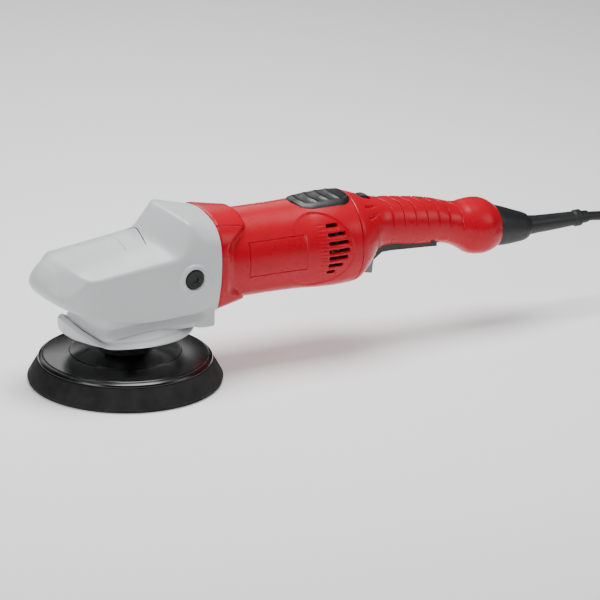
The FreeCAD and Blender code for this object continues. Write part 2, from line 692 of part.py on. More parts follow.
def make_motor_housing():
    """Red motor tube with its stepped collar, vents and recess for the label."""
    body = new_body("motor_tube")
    centre = (0.0, D.motor_z)
    half = 37.6
    roof = 36.8
    block = [(-half, -roof, 24), (half, -roof, 24), (half, roof, 24), (-half, roof, 24)]
    collar_end = 98.0
    pad(body, "CollarBlock", "YZ_Plane", [block], collar_end - HOUSING_FRONT, HOUSING_FRONT, centre)
    notch = [(67.0, D.motor_z + 3), (88.0, D.motor_z + 29), (90.0, D.motor_z + 45),
             (collar_end + 4, D.motor_z + 45), (collar_end + 4, D.motor_z - 45),
             (88.0, D.motor_z - 45), (87.0, D.motor_z - 28)]
    pocket(body, "CollarNotch", "XZ_Plane", [notch])
    waist = D.barrel_r - 0.2
    tube = [(HOUSING_FRONT, 20.0), (D.housing_back, 20.0), (D.housing_back, D.vent_r),
            (176.0, D.vent_r + 0.6), (158.0, D.vent_r + 0.3), (142.0, D.barrel_r + 0.3),
            (128.0, waist), (100.0, waist), (HOUSING_FRONT, D.barrel_r)]
    turn(body, "Tube", tube, "H_Axis", height=D.motor_z)
    inside = [(HOUSING_FRONT - 1, 0.0), (D.housing_back + 1, 0.0), (D.housing_back + 1, 33.2),
              (148.0, 33.2), (144.0, D.stator_r), (66.0, D.stator_r), (66.0, 26.0),
              (HOUSING_FRONT - 1, 26.0)]
    turn(body, "Inside", inside, "H_Axis", "Groove", D.motor_z)
    taps = [circle(x, y, 2.1) for x, y in around(4, 30, 45)]
    pocket(body, "FrontTaps", "YZ_Plane", taps, 7, HOUSING_FRONT - 1, centre, True)
    tall = VENT_HEIGHT / 2
    slots = []
    for level, end in VENTS:
        z = D.motor_z + level
        slots.append([(VENT_START, z - tall, 1.2), (end, z - tall, 1.2), (end, z + tall, 1.2),
                      (VENT_START, z + tall, 1.2)])
    pocket(body, "Vents", "XZ_Plane", slots)

    bottom = D.barrel_r - 0.9
    reach = 90.0
    outer = rod(centre, "x", D.vent_r + 6, LABEL_X[0] - 5, LABEL_X[1] + 5)
    inner = rod(centre, "x", bottom, LABEL_X[0] - 6, LABEL_X[1] + 6)
    shell = combine("Cut", "LabelRing", (outer, inner))
    window = box(LABEL_X, (-reach, -20.0), LABEL_Z)
    tool = combine("Common", "LabelRecess", (shell, window))
    node("motor_housing", combine("Cut", "MotorHousing", (body, tool)))

    gap = 0.15
    outer = rod(centre, "x", D.barrel_r - 0.35, LABEL_X[0], LABEL_X[1])
    inner = rod(centre, "x", bottom, LABEL_X[0] - 1, LABEL_X[1] + 1)
    shell = combine("Cut", "PlateRing", (outer, inner))
    window = box((LABEL_X[0] + gap, LABEL_X[1] - gap), (-reach, -20.0),
                 (LABEL_Z[0] + gap, LABEL_Z[1] - gap))
    node("label_plate", combine("Common", "LabelPlate", (shell, window)))


def make_top_inlay():
    """Black ridged inlay on top of the motor housing, shaped like a leaf."""
    low = D.vent_r + 0.75
    outer = rod((0.0, D.motor_z), "x", low + 1.3, 130, 190)
    inner = rod((0.0, D.motor_z), "x", low, 129, 191)
    shell = combine("Cut", "InlayRing", (outer, inner))
    body = new_body("inlay_leaf")
    leaf = [(134.5, 0.0, 9), (140.5, -15.0, 12), (180.0, -17.5, 8), (183.6, -10.0, 3),
            (183.6, 10.0, 3), (180.0, 17.5, 8), (140.5, 15.0, 12)]
    pad(body, "Leaf", "XY_Plane", [leaf], 20, 110)
    node("top_inlay", combine("Common", "TopInlay", (shell, body)))


# ------------------------------------------------------------------ motor
def make_stator():
    """Laminated field core with two winding slots, and its windings."""
    centre = (0.0, D.motor_z)
    body = new_body("field_core")
    outline = [circle(0, 0, D.stator_r), circle(0, 0, D.bore_r)]
    pad(body, "CoreRing", "YZ_Plane", outline, D.stack, D.stator_x, centre)
    slot = 24.6
    for name, sign in (("Left", 1.0), ("Right", -1.0)):
        loop = [(sign * 12.0, -12.0), (sign * slot, -12.0), (sign * slot, 12.0), (sign * 12.0, 12.0)]
        pocket(body, name + "Slot", "YZ_Plane", [loop], D.stack + 2, D.stator_x - 1, centre, True)
    node("field_core", body)

    body = new_body("field_windings")
    overhang = 6.0
    for name, start in (("Front", D.stator_x - overhang), ("Rear", D.stator_x + D.stack)):
        coil = [circle(0, 0, 29.5), circle(0, 0, 19.6)]
        pad(body, name + "Coil", "YZ_Plane", coil, overhang, start, centre)
    for name, sign in (("Left", 1.0), ("Right", -1.0)):
        loop = [(sign * 19.6, -11.5), (sign * (slot - 0.3), -11.5), (sign * (slot - 0.3), 11.5),
                (sign * 19.6, 11.5)]
        pad(body, name + "Side", "YZ_Plane", [loop], D.stack, D.stator_x, centre)
    node("field_windings", body)


def make_armature():
    """Shaft with pinion, fan, core, end windings and commutator."""
    centre = (0.0, D.motor_z)
    shaft = [(22.2, 0), (22.2, 3.5), (31.2, 3.5), (31.2, 7), (45.8, 7), (45.8, 6), (57.4, 6),
             (57.4, 7), (62, 7), (62, D.shaft_r), (164.4, D.shaft_r), (164.4, 4), (174, 4), (174, 0)]
    lengthwise("armature_shaft", shaft)
    make_pinion()

    body = new_body("cooling_fan")
    turn(body, "FanDisc", [(66, D.shaft_r), (78, D.shaft_r), (78, 29.6), (76, 29.6), (74, 10),
                           (66, 10)], "H_Axis", height=D.motor_z)
    blade = [(9.5, -0.9), (29.0, -0.9), (29.0, 0.9), (9.5, 0.9)]
    first = pad(body, "FanBlade", "YZ_Plane", [blade], 10.5, 66, centre)
    fan_blades = 11
    pattern = feature(body, "PolarPattern", "FanBlades", Angle=360.0)
    pattern.Originals = [first]
    pattern.Axis = (first.Profile[0], ["N_Axis"])
    body.Tip = pattern
    pattern.Occurrences = fan_blades
    node("cooling_fan", body)

    body = new_body("armature_core")
    profile = ring(D.stator_x, D.stator_x + D.stack, D.shaft_r, D.rotor_r)
    turn(body, "CoreTurn", profile, "H_Axis", height=D.motor_z)
    groove = [(17.0, -0.8), (20.0, -0.8), (20.0, 0.8), (17.0, 0.8)]
    first = pocket(body, "CoreSlot", "YZ_Plane", [groove], D.stack + 2, D.stator_x - 1, centre, True)
    armature_slots = 14
    pattern = feature(body, "PolarPattern", "CoreSlots", Angle=360.0)
    pattern.Originals = [first]
    pattern.Axis = (first.Profile[0], ["N_Axis"])
    body.Tip = pattern
    pattern.Occurrences = armature_slots
    node("armature_core", body)

    body = new_body("armature_windings")
    back = D.stator_x + D.stack
    front_coil = [(84, D.shaft_r), (D.stator_x, D.shaft_r), (D.stator_x, 16.4), (87, 16.4), (84, 13)]
    rear_coil = [(back, D.shaft_r), (back + 7, D.shaft_r), (back + 7, 12), (back + 4, 16.4),
                 (back, 16.4)]
    turn(body, "FrontCoil", front_coil, "H_Axis", height=D.motor_z)
    turn(body, "RearCoil", rear_coil, "H_Axis", height=D.motor_z)
    node("armature_windings", body)

    lengthwise("commutator", ring(147, 160, D.shaft_r, D.commutator_r))


def make_pinion():
    """Bevel pinion on the front of the shaft, cut by gaps that taper to the same point."""
    body = new_body("pinion")
    mean = D.gear_mean_r * D.pinion_teeth / D.crown_teeth
    span = (22.2, 31.0)
    tips = [(mean + 1.2) * (x / D.gear_mean_r) for x in span]
    profile = [(span[0], 3.5), (span[1], 3.5), (span[1], tips[1]), (span[0], tips[0])]
    turn(body, "PinionTurn", profile, "H_Axis", height=D.motor_z)
    ends = []
    for side, x in (("Front", 21.0), ("Back", 32.0)):
        scale = x / D.gear_mean_r
        root = (mean - 1.55) * scale
        wide = 9.6 * scale
        gap = [(root, -0.5 * scale), (wide, -2.74 * scale), (wide, 2.74 * scale),
               (root, 0.5 * scale)]
        ends.append(sketch_on(body, "PinionGap" + side, "YZ_Plane", [gap], x, (0.0, D.motor_z)))
    first = feature(body, "SubtractiveLoft", "PinionGap", Profile=ends[0], Ruled=True)
    first.Sections = [(ends[1], [""])]
    pattern = feature(body, "PolarPattern", "PinionGaps", Angle=360.0)
    pattern.Originals = [first]
    pattern.Axis = (ends[0], ["N_Axis"])
    body.Tip = pattern
    put(pattern, "Occurrences", D.pinion_teeth)
    node("pinion", body)


HOLDER_X = (149.0, 162.0)
HOLDER_Y = (13.0, 29.6)


def make_brush_gear():
    """Rear bearing bracket with two brush holders, their brushes and springs."""
    centre = (0.0, D.motor_z)
    body = new_body("rear_bracket")
    profile = [(HOLDER_X[1], 7), (HOLDER_X[1], 32.9), (165, 32.9), (165, 15), (175, 15), (175, 7)]
    turn(body, "BracketTurn", profile, "H_Axis", height=D.motor_z)
    turn(body, "BracketSeat", ring(165, 172.3, 0, 11), "H_Axis", "Groove", D.motor_z)
    windows = [circle(x, y, 6.5) for x, y in around(4, 23.5, 45)]
    pocket(body, "BracketWindows", "YZ_Plane", windows, 6, 161, centre, True)
    node("rear_bracket", body)

    outer, inner = (7.0, 5.2), (4.6, 3.4)
    body = new_body("brush_holders")
    for name, sign in (("Left", 1.0), ("Right", -1.0)):
        near, far = (HOLDER_Y if sign > 0 else (-HOLDER_Y[1], -HOLDER_Y[0]))
        middle = (HOLDER_X[0] + HOLDER_X[1]) / 2
        wall = rectangle(middle, D.motor_z, HOLDER_X[1] - middle, outer[1])
        pad(body, name + "Tube", "XZ_Plane", [wall], far - near, -far)
    holes = rectangle(middle - 0.6, D.motor_z, inner[0], inner[1])
    pocket(body, "HolderHoles", "XZ_Plane", [holes])
    node("brush_holders", body)

    shift = 0.1
    body = new_body("carbon_brushes")
    block = rectangle(middle - 0.6, D.motor_z, inner[0] - shift, inner[1] - shift)
    for name, low, high in (("Left", 9.0, 23.0), ("Right", -23.0, -9.0)):
        pad(body, name + "Block", "XZ_Plane", [block], high - low, -high)
    face = ring(140, 170, 0, D.commutator_r + D.running * 2)
    turn(body, "BrushFaces", face, "H_Axis", "Groove", D.motor_z)
    node("carbon_brushes", body)

    body = new_body("brush_springs")
    for name, start in (("Left", -29.0), ("Right", 23.0)):
        coil = [circle(middle - 0.6, D.motor_z, 3.1), circle(middle - 0.6, D.motor_z, 1.9)]
        pad(body, name + "Coil", "XZ_Plane", coil, 6, start)
    node("brush_springs", body)


def rectangle(x, y, half_width, half_height):
    """Closed loop of four corners round a centre."""
    return [(x - half_width, y - half_height), (x + half_width, y - half_height),
            (x + half_width, y + half_height), (x - half_width, y + half_height)]


# ------------------------------------------------------------------ handle
# stations of the handle: distance along X, radius and height of the centre
STATIONS = (
    (D.housing_back, D.vent_r, D.motor_z), (192.0, 34.0, 87.9), (199.0, 31.6, 88.3), (206.0, 27.8, 90.6),
    (213.0, 23.2, 93.3), (221.0, 20.0, 95.4), (235.0, 19.0, 94.4), (250.0, 18.4, 92.9),
    (264.0, 17.7, 90.2), (275.0, 17.3, 87.1), (283.0, 18.7, 84.2), (290.0, 21.4, 82.2),
    (298.0, 22.6, 81.4), (305.0, 22.2, 80.9), (311.0, 20.0, 80.2), (316.0, 16.9, 79.5),
)
GUARD_X = 306.0
GUARD_R = 13.0
POSTS = ((191.0, 70.0), (214.0, 101.0), (263.0, 91.0), (299.0, 92.0))


def loft_tube(name, stations, offset=0.0):
    """Smooth solid through stations along X, made smaller by an offset."""
    circles = []
    for x, radius, height in stations:
        item = doc.addObject("Part::Circle", name + "Station")
        put(item, "Radius", Size.of(radius) - offset)
        item.Placement.Rotation = FreeCAD.Rotation(FreeCAD.Vector(0, 1, 0), 90)
        put(item, "Placement.Base.x", Size.of(x))
        put(item, "Placement.Base.z", Size.of(height))
        circles.append(item)
    loft = doc.addObject("Part::Loft", name)
    loft.Sections = circles
    loft.Solid = True
    loft.Ruled = False
    return loft


def make_handle():
    """Two handle shells, parted along the middle, and the screws that join them."""
    outer = loft_tube("GripOutside", STATIONS)
    inner = loft_tube("GripInside", STATIONS[:-2], D.wall)
    hollow = combine("Cut", "GripHollow", (outer, inner))
    posts = [rod(spot, "y", 4.2, -36.0, 36.0) for spot in POSTS]
    posts = combine("Common", "GripPosts", (combine("Fuse", "Posts", posts), outer))
    body = combine("Fuse", "GripBody", (hollow, posts))

    paddle_slot = box((202.6, 263.0), (-D.paddle_y - 0.4, D.paddle_y + 0.4), (40, 84))
    lever_slot = box((196.5, 203.0), (-5.7, 5.7), (40, 76))
    dial_slot = box((192.8, 204.4), (-5.3, 5.3), (100, 130))
    dial_room = rod((D.dial_x, D.dial_z), "y", D.dial_r + 0.5, -5.3, 5.3)
    guard_hole = rod((0.0, 79.5), "x", GUARD_R, 300, 320)
    rear_room = rod((0.0, 79.5), "x", 15.5, 300, GUARD_X)
    tunnel = [rod(spot, "y", 1.6, -36.0, 36.0) for spot in POSTS]
    heads = [rod(spot, "y", 3.1, 11.0, 36.0) for spot in POSTS]
    pivot = rod((D.pivot_x, D.pivot_z), "y", 1.5, -14.0, 14.0)
    cuts = [paddle_slot, lever_slot, dial_slot, dial_room, guard_hole, rear_room, pivot]
    cuts += tunnel + heads
    shell = combine("Cut", "GripShell", (body, combine("Fuse", "GripCuts", cuts)))
    for name, span in (("handle_shell_right", (-60, 0)), ("handle_shell_left", (0, 60))):
        half = combine("Common", name, (shell, box((180, 330), span, (20, 140))))
        node(name, half)

    body = new_body("handle_screws")
    pad(body, "ScrewShanks", "XZ_Plane", [circle(x, z, 1.5) for x, z in POSTS], 21, -11.0)
    pad(body, "ScrewHeads", "XZ_Plane", [circle(x, z, 2.9) for x, z in POSTS], 2.4, -13.4)
    stars = [star_loop(x, z, 1.4, 0.95) for x, z in POSTS]
    pocket(body, "ScrewSockets", "XZ_Plane", stars, 1.3, -13.4, back=True)
    node("handle_screws", body)


def make_paddle():
    """Paddle switch under the grip, its pivot pin, and the lock-off lever on its front end."""
    body = new_body("paddle_blank")
    top = [(214.0, 81.6), (206.0, 79.0), (203.2, 76.0)]
    under = [(203.2, 66.4), (208.0, 70.0), (213.0, 74.0), (221.0, 74.3), (250.0, 73.0), (261.5, 72.4)]
    rear = [(261.5, 80.0), (250.0, 82.0)]
    pad(body, "PaddleSide", "XZ_Plane", [under + rear + top], D.paddle_y * 2, both=True)
    inner = [(212.0, 90.0), (212.0, 76.4), (248.0, 75.6), (248.0, 90.0)]
    sketch = sketch_on(body, "PaddleHollowSketch", "XZ_Plane", [inner])
    hollow = feature(body, "Pocket", "PaddleHollow", Profile=sketch, SideType="Symmetric")
    hollow.Type = "Length"
    put(hollow, "Length", (D.paddle_y - 1.8) * 2)
    pusher = [(226.0, 76.0), (231.0, 76.0), (231.0, 87.0), (226.0, 87.0)]
    pad(body, "PaddlePusher", "XZ_Plane", [pusher], 6, both=True)
    pocket(body, "PaddleBore", "XZ_Plane", [circle(D.pivot_x, D.pivot_z, 1.5 + D.running)])
    pocket(body, "LeverPinBore", "XZ_Plane", [circle(D.lever_x, D.lever_z, 1.2)])
    notch = box((200, 211.4), (-5.6, 5.6), (60, 90))
    node("paddle", combine("Cut", "Paddle", (body, notch)))
    node("paddle_pin", rod((D.pivot_x, D.pivot_z), "y", 1.5, -13.8, 13.8))

    body = new_body("lock_lever")
    block = [(200.2, 57.6, 1), (207.4, 56.2, 1), (208.4, 66.0), (209.6, 73.0, 2), (208.0, 75.6, 2),
             (205.4, 75.6, 2), (203.6, 70.0), (200.2, 66.0)]
    pad(body, "LeverSide", "XZ_Plane", [block], 10.4, both=True)
    pocket(body, "LeverBore", "XZ_Plane", [circle(D.lever_x, D.lever_z, 1.2 + D.running)])
    node("lock_lever", body)
    node("lever_pin", rod((D.lever_x, D.lever_z), "y", 1.2, -9.6, 9.6))


def make_controls():
    """Switch, speed control board and the speed dial that turns on it."""
    body = new_body("switch_body")
    case = [(221.0, 85.6), (249.0, 85.6), (249.0, 103.0), (221.0, 103.0)]
    pad(body, "SwitchCase", "XZ_Plane", [case], 18, both=True)
    mouth = box((222.5, 234.5), (-4.2, 4.2), (84, 93))
    node("switch_body", combine("Cut", "SwitchBody", (body, mouth)))

    board = box((189, 203), (6.6, 8.2), (85, 114))
    parts = box((191, 202), (8.2, 15), (86, 104))
    axle = rod((D.dial_x, D.dial_z), "y", 1.9, -4.2, 6.6)
    node("control_board", combine("Fuse", "ControlBoard", (board, parts, axle)))

    body = new_body("speed_dial")
    wheel = [circle(D.dial_x, D.dial_z, D.dial_r), circle(D.dial_x, D.dial_z, 1.9 + D.running)]
    pad(body, "DialWheel", "XZ_Plane", wheel, 8, both=True)
    notch = [circle(D.dial_x, D.dial_z + D.dial_r + 0.4, 1.0)]
    first = pocket(body, "DialNotch", "XZ_Plane", notch)
    dial_notches = 20
    pattern = feature(body, "PolarPattern", "DialNotches", Angle=360.0)
    pattern.Originals = [first]
    pattern.Axis = (body_hub(body), ["N_Axis"])
    body.Tip = pattern
    pattern.Occurrences = dial_notches
    node("speed_dial", body)


def body_hub(body):
    """Sketch of one point on the dial's axis, which its notches are spaced round."""
    hub = circle(0, 0, 1)
    return sketch_on(body, "DialHub", "XZ_Plane", [hub], 0.0, (D.dial_x, D.dial_z))


# ------------------------------------------------------------------ cord
def make_cord_guard():
    """Rubber guard: a plug inside the handle, a cone and a long tapered sleeve."""
    stations = ((316.0, 16.6, 79.5), (320.0, 16.2, 78.5), (327.0, 15.0, 77.2),
                (334.0, 13.3, 76.0), (340.5, 11.8, 75.0))
    cone = loft_tube("GuardCone", stations)
    plug = rod((0.0, 79.5), "x", GUARD_R - 0.05, GUARD_X + 0.2, 317)
    flange = rod((0.0, 79.5), "x", 15.2, 302, GUARD_X - 0.1)
    body = new_body("guard_sleeve")
    sleeve = [(301, 0), (301, 5.5), (340.5, 5.5), (340.5, 11.8), (345.5, 10.2), (347.5, 8.0),
              (356, 7.1), (370, 6.7), (385, 5.9), (388.5, 5.8), (390, 6.7), (394.5, 6.7), (396, 5.2),
              (402, 4.7), (402, 0)]
    turn(body, "SleeveTurn", sleeve, "H_Axis", height=D.cord_z)
    whole = combine("Fuse", "GuardBody", (cone, plug, flange, body))
    bore = rod((0.0, D.cord_z), "x", D.cord_r, 290, 410)
    node("cord_guard", combine("Cut", "CordGuard", (whole, bore)))

    clamp = box((286, 298), (-7.5, 7.5), (70.6, 79))
    hole = rod((0.0, D.cord_z), "x", D.cord_r, 280, 300)
    node("cord_clamp", combine("Cut", "CordClamp", (clamp, hole)))
    node("cord_lead_in", rod((0.0, D.cord_z), "x", D.cord_r, 282, CORD_ROUTE[0][0]))


# the route of the cord's two free stretches, as the corners of straight runs
FLOOR_Z = 3.8
CORD_ROUTE = (
    (396.0, 0.0, 74.8), (430.0, 0.0, 74.8), (462.0, 0.0, 46.5), (490.0, 0.0, 15.5),
    (528.0, 0.0, FLOOR_Z),
)
TAIL_ROUTE = (
    (482.0, -75.0, 25.9), (482.0, -51.7, 29.5), (493.8, -31.3, 34.0), (514.2, -19.5, 36.8),
    (537.0, -19.5, 37.0),
)


def tube(name, corners):
    """Round tube along straight runs that tangent arcs join."""
    points = [FreeCAD.Vector(*corner) for corner in corners]
    edges = []
    start = points[0]
    length = 0.0
    for before, corner, after in zip(points, points[1:], points[2:]):
        back = before - corner
        ahead = after - corner
        turn_angle = math.pi - back.getAngle(ahead)
        shorter = min(back.Length, ahead.Length)
        radius = 0.45 * shorter / math.tan(turn_angle / 2)
        print("%s: turn %.0f degrees, radius %.1f" % (name, math.degrees(turn_angle), radius))
        entry = corner + FreeCAD.Vector(back).normalize() * (0.45 * shorter)
        leave = corner + FreeCAD.Vector(ahead).normalize() * (0.45 * shorter)
        inward = (FreeCAD.Vector(back).normalize() + FreeCAD.Vector(ahead).normalize()).normalize()
        middle = corner + inward * (radius / math.cos(turn_angle / 2) - radius)
        edges.append(Part.makeLine(start, entry))
        edges.append(Part.Arc(entry, middle, leave).toShape())
        length += (entry - start).Length + radius * turn_angle
        start = leave
    edges.append(Part.makeLine(start, points[-1]))
    length += (points[-1] - start).Length
    path = Part.Wire(edges)
    radius = D.cord_r.value
    section = Part.Wire(Part.makeCircle(radius, points[0], points[1] - points[0]))
    solid = path.makePipeShell([section], True, True)
    print("%s: length %.1f, volume %.0f against %.0f" % (
        name, length, solid.Volume, math.pi * radius * radius * length))
    item = doc.addObject("Part::Feature", name)
    item.Shape = solid
    return node(name, item)


def make_cord():
    """Free stretch to the coil, the coil itself, and the short tail up to the plug."""
    tube("cord", CORD_ROUTE)
    tube("cord_tail", TAIL_ROUTE)
    body = new_body("cord_coil")
    half = D.coil_rows * D.cord_r
    inner, outer = D.coil_mid_r - half, D.coil_mid_r + half
    height = D.coil_layers * D.cord_r * 2
    profile = [(inner, 0, 3), (outer, 0, 3), (outer, height, 3), (inner, height, 3)]
    turn(body, "CoilTurn", profile)
    put(body, "Placement.Base.x", D.coil_x)
    put(body, "Placement.Base.y", D.coil_y)
    node("cord_coil", body)


PLUG_X = 536.0
PLUG_Y = -19.5
PLUG_Z = 37.0


def make_plug():
    """Moulded two-pin plug lying on the coil."""
    body = new_body("plug_body")
    relief, grip, face, side = PLUG_X, PLUG_X + 14, PLUG_X + 46, 17.5
    loop = [(relief, PLUG_Y - 4.6), (grip, PLUG_Y - 6.5), (grip + 6, PLUG_Y - 10, 4),
            (face - 8, PLUG_Y - side, 5), (face, PLUG_Y - side, 2), (face, PLUG_Y + side, 2),
            (face - 8, PLUG_Y + side, 5), (grip + 6, PLUG_Y + 10, 4), (grip, PLUG_Y + 6.5),
            (relief, PLUG_Y + 4.6)]
    thick = 14.0
    pad(body, "PlugOutline", "XY_Plane", [loop], thick, PLUG_Z - thick / 2)
    bore = [circle(PLUG_Y, PLUG_Z, D.cord_r)]
    pocket(body, "PlugCordHole", "YZ_Plane", bore, 5, PLUG_X - 1, back=True)
    holes = [circle(PLUG_Y + 9.5, PLUG_Z, 2.4), circle(PLUG_Y - 9.5, PLUG_Z, 2.4)]
    pocket(body, "PlugPinHoles", "YZ_Plane", holes, 12, face - 10, back=True)
    node("plug_body", body)
    body = new_body("plug_pins")
    pad(body, "Pins", "YZ_Plane", holes, 28, face - 9)
    node("plug_pins", body)


# ------------------------------------------------------------------ build and export
def check(name, shape):
    """Stops on a piece that would not pack."""
    if shape.isNull() or not shape.isValid() or not shape.Solids:
        raise RuntimeError("piece %s has no sound solid" % name)


def main():
    make_pad()
    make_spindle()
    make_gear_case()
    make_bearings()
    make_head_cover()
    make_motor_housing()
    make_top_inlay()
    make_stator()
    make_armature()
    make_brush_gear()
    make_handle()
    make_paddle()
    make_controls()
    make_cord_guard()
    make_cord()
    make_plug()
    doc.recompute()
    for item in doc.Objects:
        if "Invalid" in item.State or "Error" in item.State:
            print("problem:", item.Name, item.State)
    for name, item in NODES:
        shape = item.Shape
        check(name, shape)
        shape.exportStep("parts/%s.step" % name)
        bounds = shape.BoundBox
        print("%-22s %2d solids  volume %9.0f  x %.1f..%.1f  y %.1f..%.1f  z %.1f..%.1f" % (
            name, len(shape.Solids), shape.Volume, bounds.XMin, bounds.XMax, bounds.YMin,
            bounds.YMax, bounds.ZMin, bounds.ZMax))


main()
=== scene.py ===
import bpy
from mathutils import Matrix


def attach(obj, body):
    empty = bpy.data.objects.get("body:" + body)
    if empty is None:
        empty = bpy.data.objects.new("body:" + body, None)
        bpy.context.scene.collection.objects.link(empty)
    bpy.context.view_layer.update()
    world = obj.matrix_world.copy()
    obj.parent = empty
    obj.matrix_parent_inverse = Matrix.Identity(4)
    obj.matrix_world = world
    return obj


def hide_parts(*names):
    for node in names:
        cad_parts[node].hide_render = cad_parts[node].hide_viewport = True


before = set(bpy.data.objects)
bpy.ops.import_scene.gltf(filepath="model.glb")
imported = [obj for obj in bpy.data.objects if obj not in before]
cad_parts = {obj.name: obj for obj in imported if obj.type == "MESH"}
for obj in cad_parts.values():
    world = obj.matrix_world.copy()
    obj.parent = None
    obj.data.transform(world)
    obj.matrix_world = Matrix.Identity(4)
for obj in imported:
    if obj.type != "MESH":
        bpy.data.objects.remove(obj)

"""Looks of a corded dual action polisher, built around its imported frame.

Sizes are in millimetres in the frame's own axes: +X runs from the spindle to the cord,
+Z is up and the backing pad's face is at z = 0. They become metres where a mesh is made.
"""

import logging
import math
from contextlib import contextmanager
from dataclasses import dataclass, field
from enum import Enum
from typing import Callable, Iterator, Sequence

import bmesh
import bpy
import numpy as np
from mathutils import Matrix, Vector

LOG = logging.getLogger("polisher")
MM = 0.001
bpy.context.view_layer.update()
Array = np.ndarray
Point = tuple[float, ...]


# ---------------------------------------------------------------- small mathematics
def ease(low: float, high: float, value: Array) -> Array:
    """Smooth step from 0 at low to 1 at high; high may be the lower number."""
    share = np.clip((value - low) / (high - low), 0.0, 1.0)
    return share * share * (3.0 - 2.0 * share)


def soft_max(first: Array, second: Array, width: Array | float) -> Array:
    """Larger of two distances, with the corner between them rounded over a width."""
    near = np.maximum(width - np.abs(first - second), 0.0) / width
    return np.maximum(first, second) + near * near * width / 4.0


def soft_min(first: Array, second: Array, width: Array | float) -> Array:
    """Smaller of two distances, with a fillet where they meet."""
    return -soft_max(-first, -second, width)


def bell(value: Array, middle: float | Array, width: float) -> Array:
    """Bump of height 1 that is gone at a distance of one width."""
    return 1.0 - ease(0.0, width, np.abs(value - middle))


def through(stations: Sequence[Point], column: int) -> Callable[[Array], Array]:
    """Smooth curve through one column of a table of stations.

    Args:
        stations: rows whose first value is the distance along X.
        column: which value of each row the curve passes through.

    Returns:
        A function of X.
    """
    x = np.array([row[0] for row in stations])
    y = np.array([row[column] for row in stations])
    slope = np.gradient(y, x)

    def value(at: Array) -> Array:
        at = np.clip(at, x[0], x[-1])
        k = np.clip(np.searchsorted(x, at) - 1, 0, len(x) - 2)
        span = x[k + 1] - x[k]
        t = (at - x[k]) / span
        rise = y[k] * (1 + 2 * t) * (1 - t) ** 2 + y[k + 1] * t * t * (3 - 2 * t)
        return rise + span * (slope[k] * t * (1 - t) ** 2 - slope[k + 1] * t * t * (1 - t))

    return value


def spread(first: Array, second: Array) -> tuple[Array, Array]:
    """Every pair of two rows of values, as two flat arrays."""
    one, two = np.meshgrid(first, second, indexing="ij")
    return one.ravel(), two.ravel()


# ---------------------------------------------------------------- mesh making
def new_piece(name: str, points: Array, faces: Sequence[Sequence[int]]) -> bpy.types.Object:
    """Makes an object from points in millimetres and faces."""
    mesh = bpy.data.meshes.new(name)
    mesh.from_pydata([tuple(p) for p in np.asarray(points) * MM], [], [list(f) for f in faces])
    mesh.update()
    piece = bpy.data.objects.new(name, mesh)
    bpy.context.scene.collection.objects.link(piece)
    return piece


def grid_faces(rows: int, columns: int, closed: bool) -> list[list[int]]:
    """Quads of a grid of points; closed joins the last column to the first."""
    last = columns if closed else columns - 1
    faces = []
    for r in range(rows - 1):
        for c in range(last):
            d = (c + 1) % columns
            faces.append([r * columns + c, r * columns + d, (r + 1) * columns + d, (r + 1) * columns + c])
    return faces


def rounded(profile: Sequence[Point], steps: int = 4) -> list[tuple[float, float]]:
    """Profile with its corners rounded; a point's third value is its radius."""
    points = []
    count = len(profile)
    for i, point in enumerate(profile):
        if len(point) == 2:
            points.append((point[0], point[1]))
            continue
        corner = Vector(point[:2])
        back = Vector(profile[i - 1][:2]) - corner
        ahead = Vector(profile[(i + 1) % count][:2]) - corner
        half = back.angle(ahead) / 2.0
        reach = min(point[2] / math.tan(half), 0.49 * back.length, 0.49 * ahead.length)
        start, end = corner + back.normalized() * reach, corner + ahead.normalized() * reach
        for k in range(steps + 1):
            t = k / steps
            spot = start * (1 - t) ** 2 + corner * 2 * t * (1 - t) + end * t * t
            points.append((spot.x, spot.y))
    return points


@contextmanager
def opened(piece: bpy.types.Object) -> Iterator[bmesh.types.BMesh]:
    """Opens a piece's mesh for editing and writes it back."""
    work = bmesh.new()
    work.from_mesh(piece.data)
    yield work
    work.to_mesh(piece.data)
    work.free()


def finish_mesh(piece: bpy.types.Object, sharp: float = 40.0) -> bpy.types.Object:
    """Welds, orients and smooths a mesh; edges over the sharp angle stay crisp."""
    with opened(piece) as work:
        bmesh.ops.remove_doubles(work, verts=work.verts, dist=0.004 * MM)
        bmesh.ops.dissolve_degenerate(work, edges=work.edges, dist=0.001 * MM)
        bmesh.ops.recalc_face_normals(work, faces=work.faces)
    piece.data.shade_smooth()
    piece.data.set_sharp_from_angle(angle=math.radians(sharp))
    return piece


def lathe(name: str, profile: Sequence[Point], centre: Point, axis: str = "z",
          steps: int = 160) -> bpy.types.Object:
    """Turns a closed profile of (radius, height) round an axis.

    Args:
        name: the piece's name.
        profile: corners of the section, with a radius as the third value where rounded.
        centre: where height 0 of the axis lies.
        axis: "x", "y" or "z".
        steps: faces round the axis.

    Returns:
        The new object.
    """
    line = rounded(profile)
    line.append(line[0])
    angles = np.linspace(0.0, 2 * math.pi, steps, endpoint=False)
    rows = []
    for radius, height in line:
        a, b = radius * np.cos(angles), radius * np.sin(angles)
        h = np.full(steps, height)
        column = {"x": (h, a, b), "y": (a, h, b), "z": (a, b, h)}[axis]
        rows.append(np.stack(column, 1) + np.array(centre))
    piece = new_piece(name, np.concatenate(rows), grid_faces(len(line), steps, True))
    return finish_mesh(piece, 28.0)


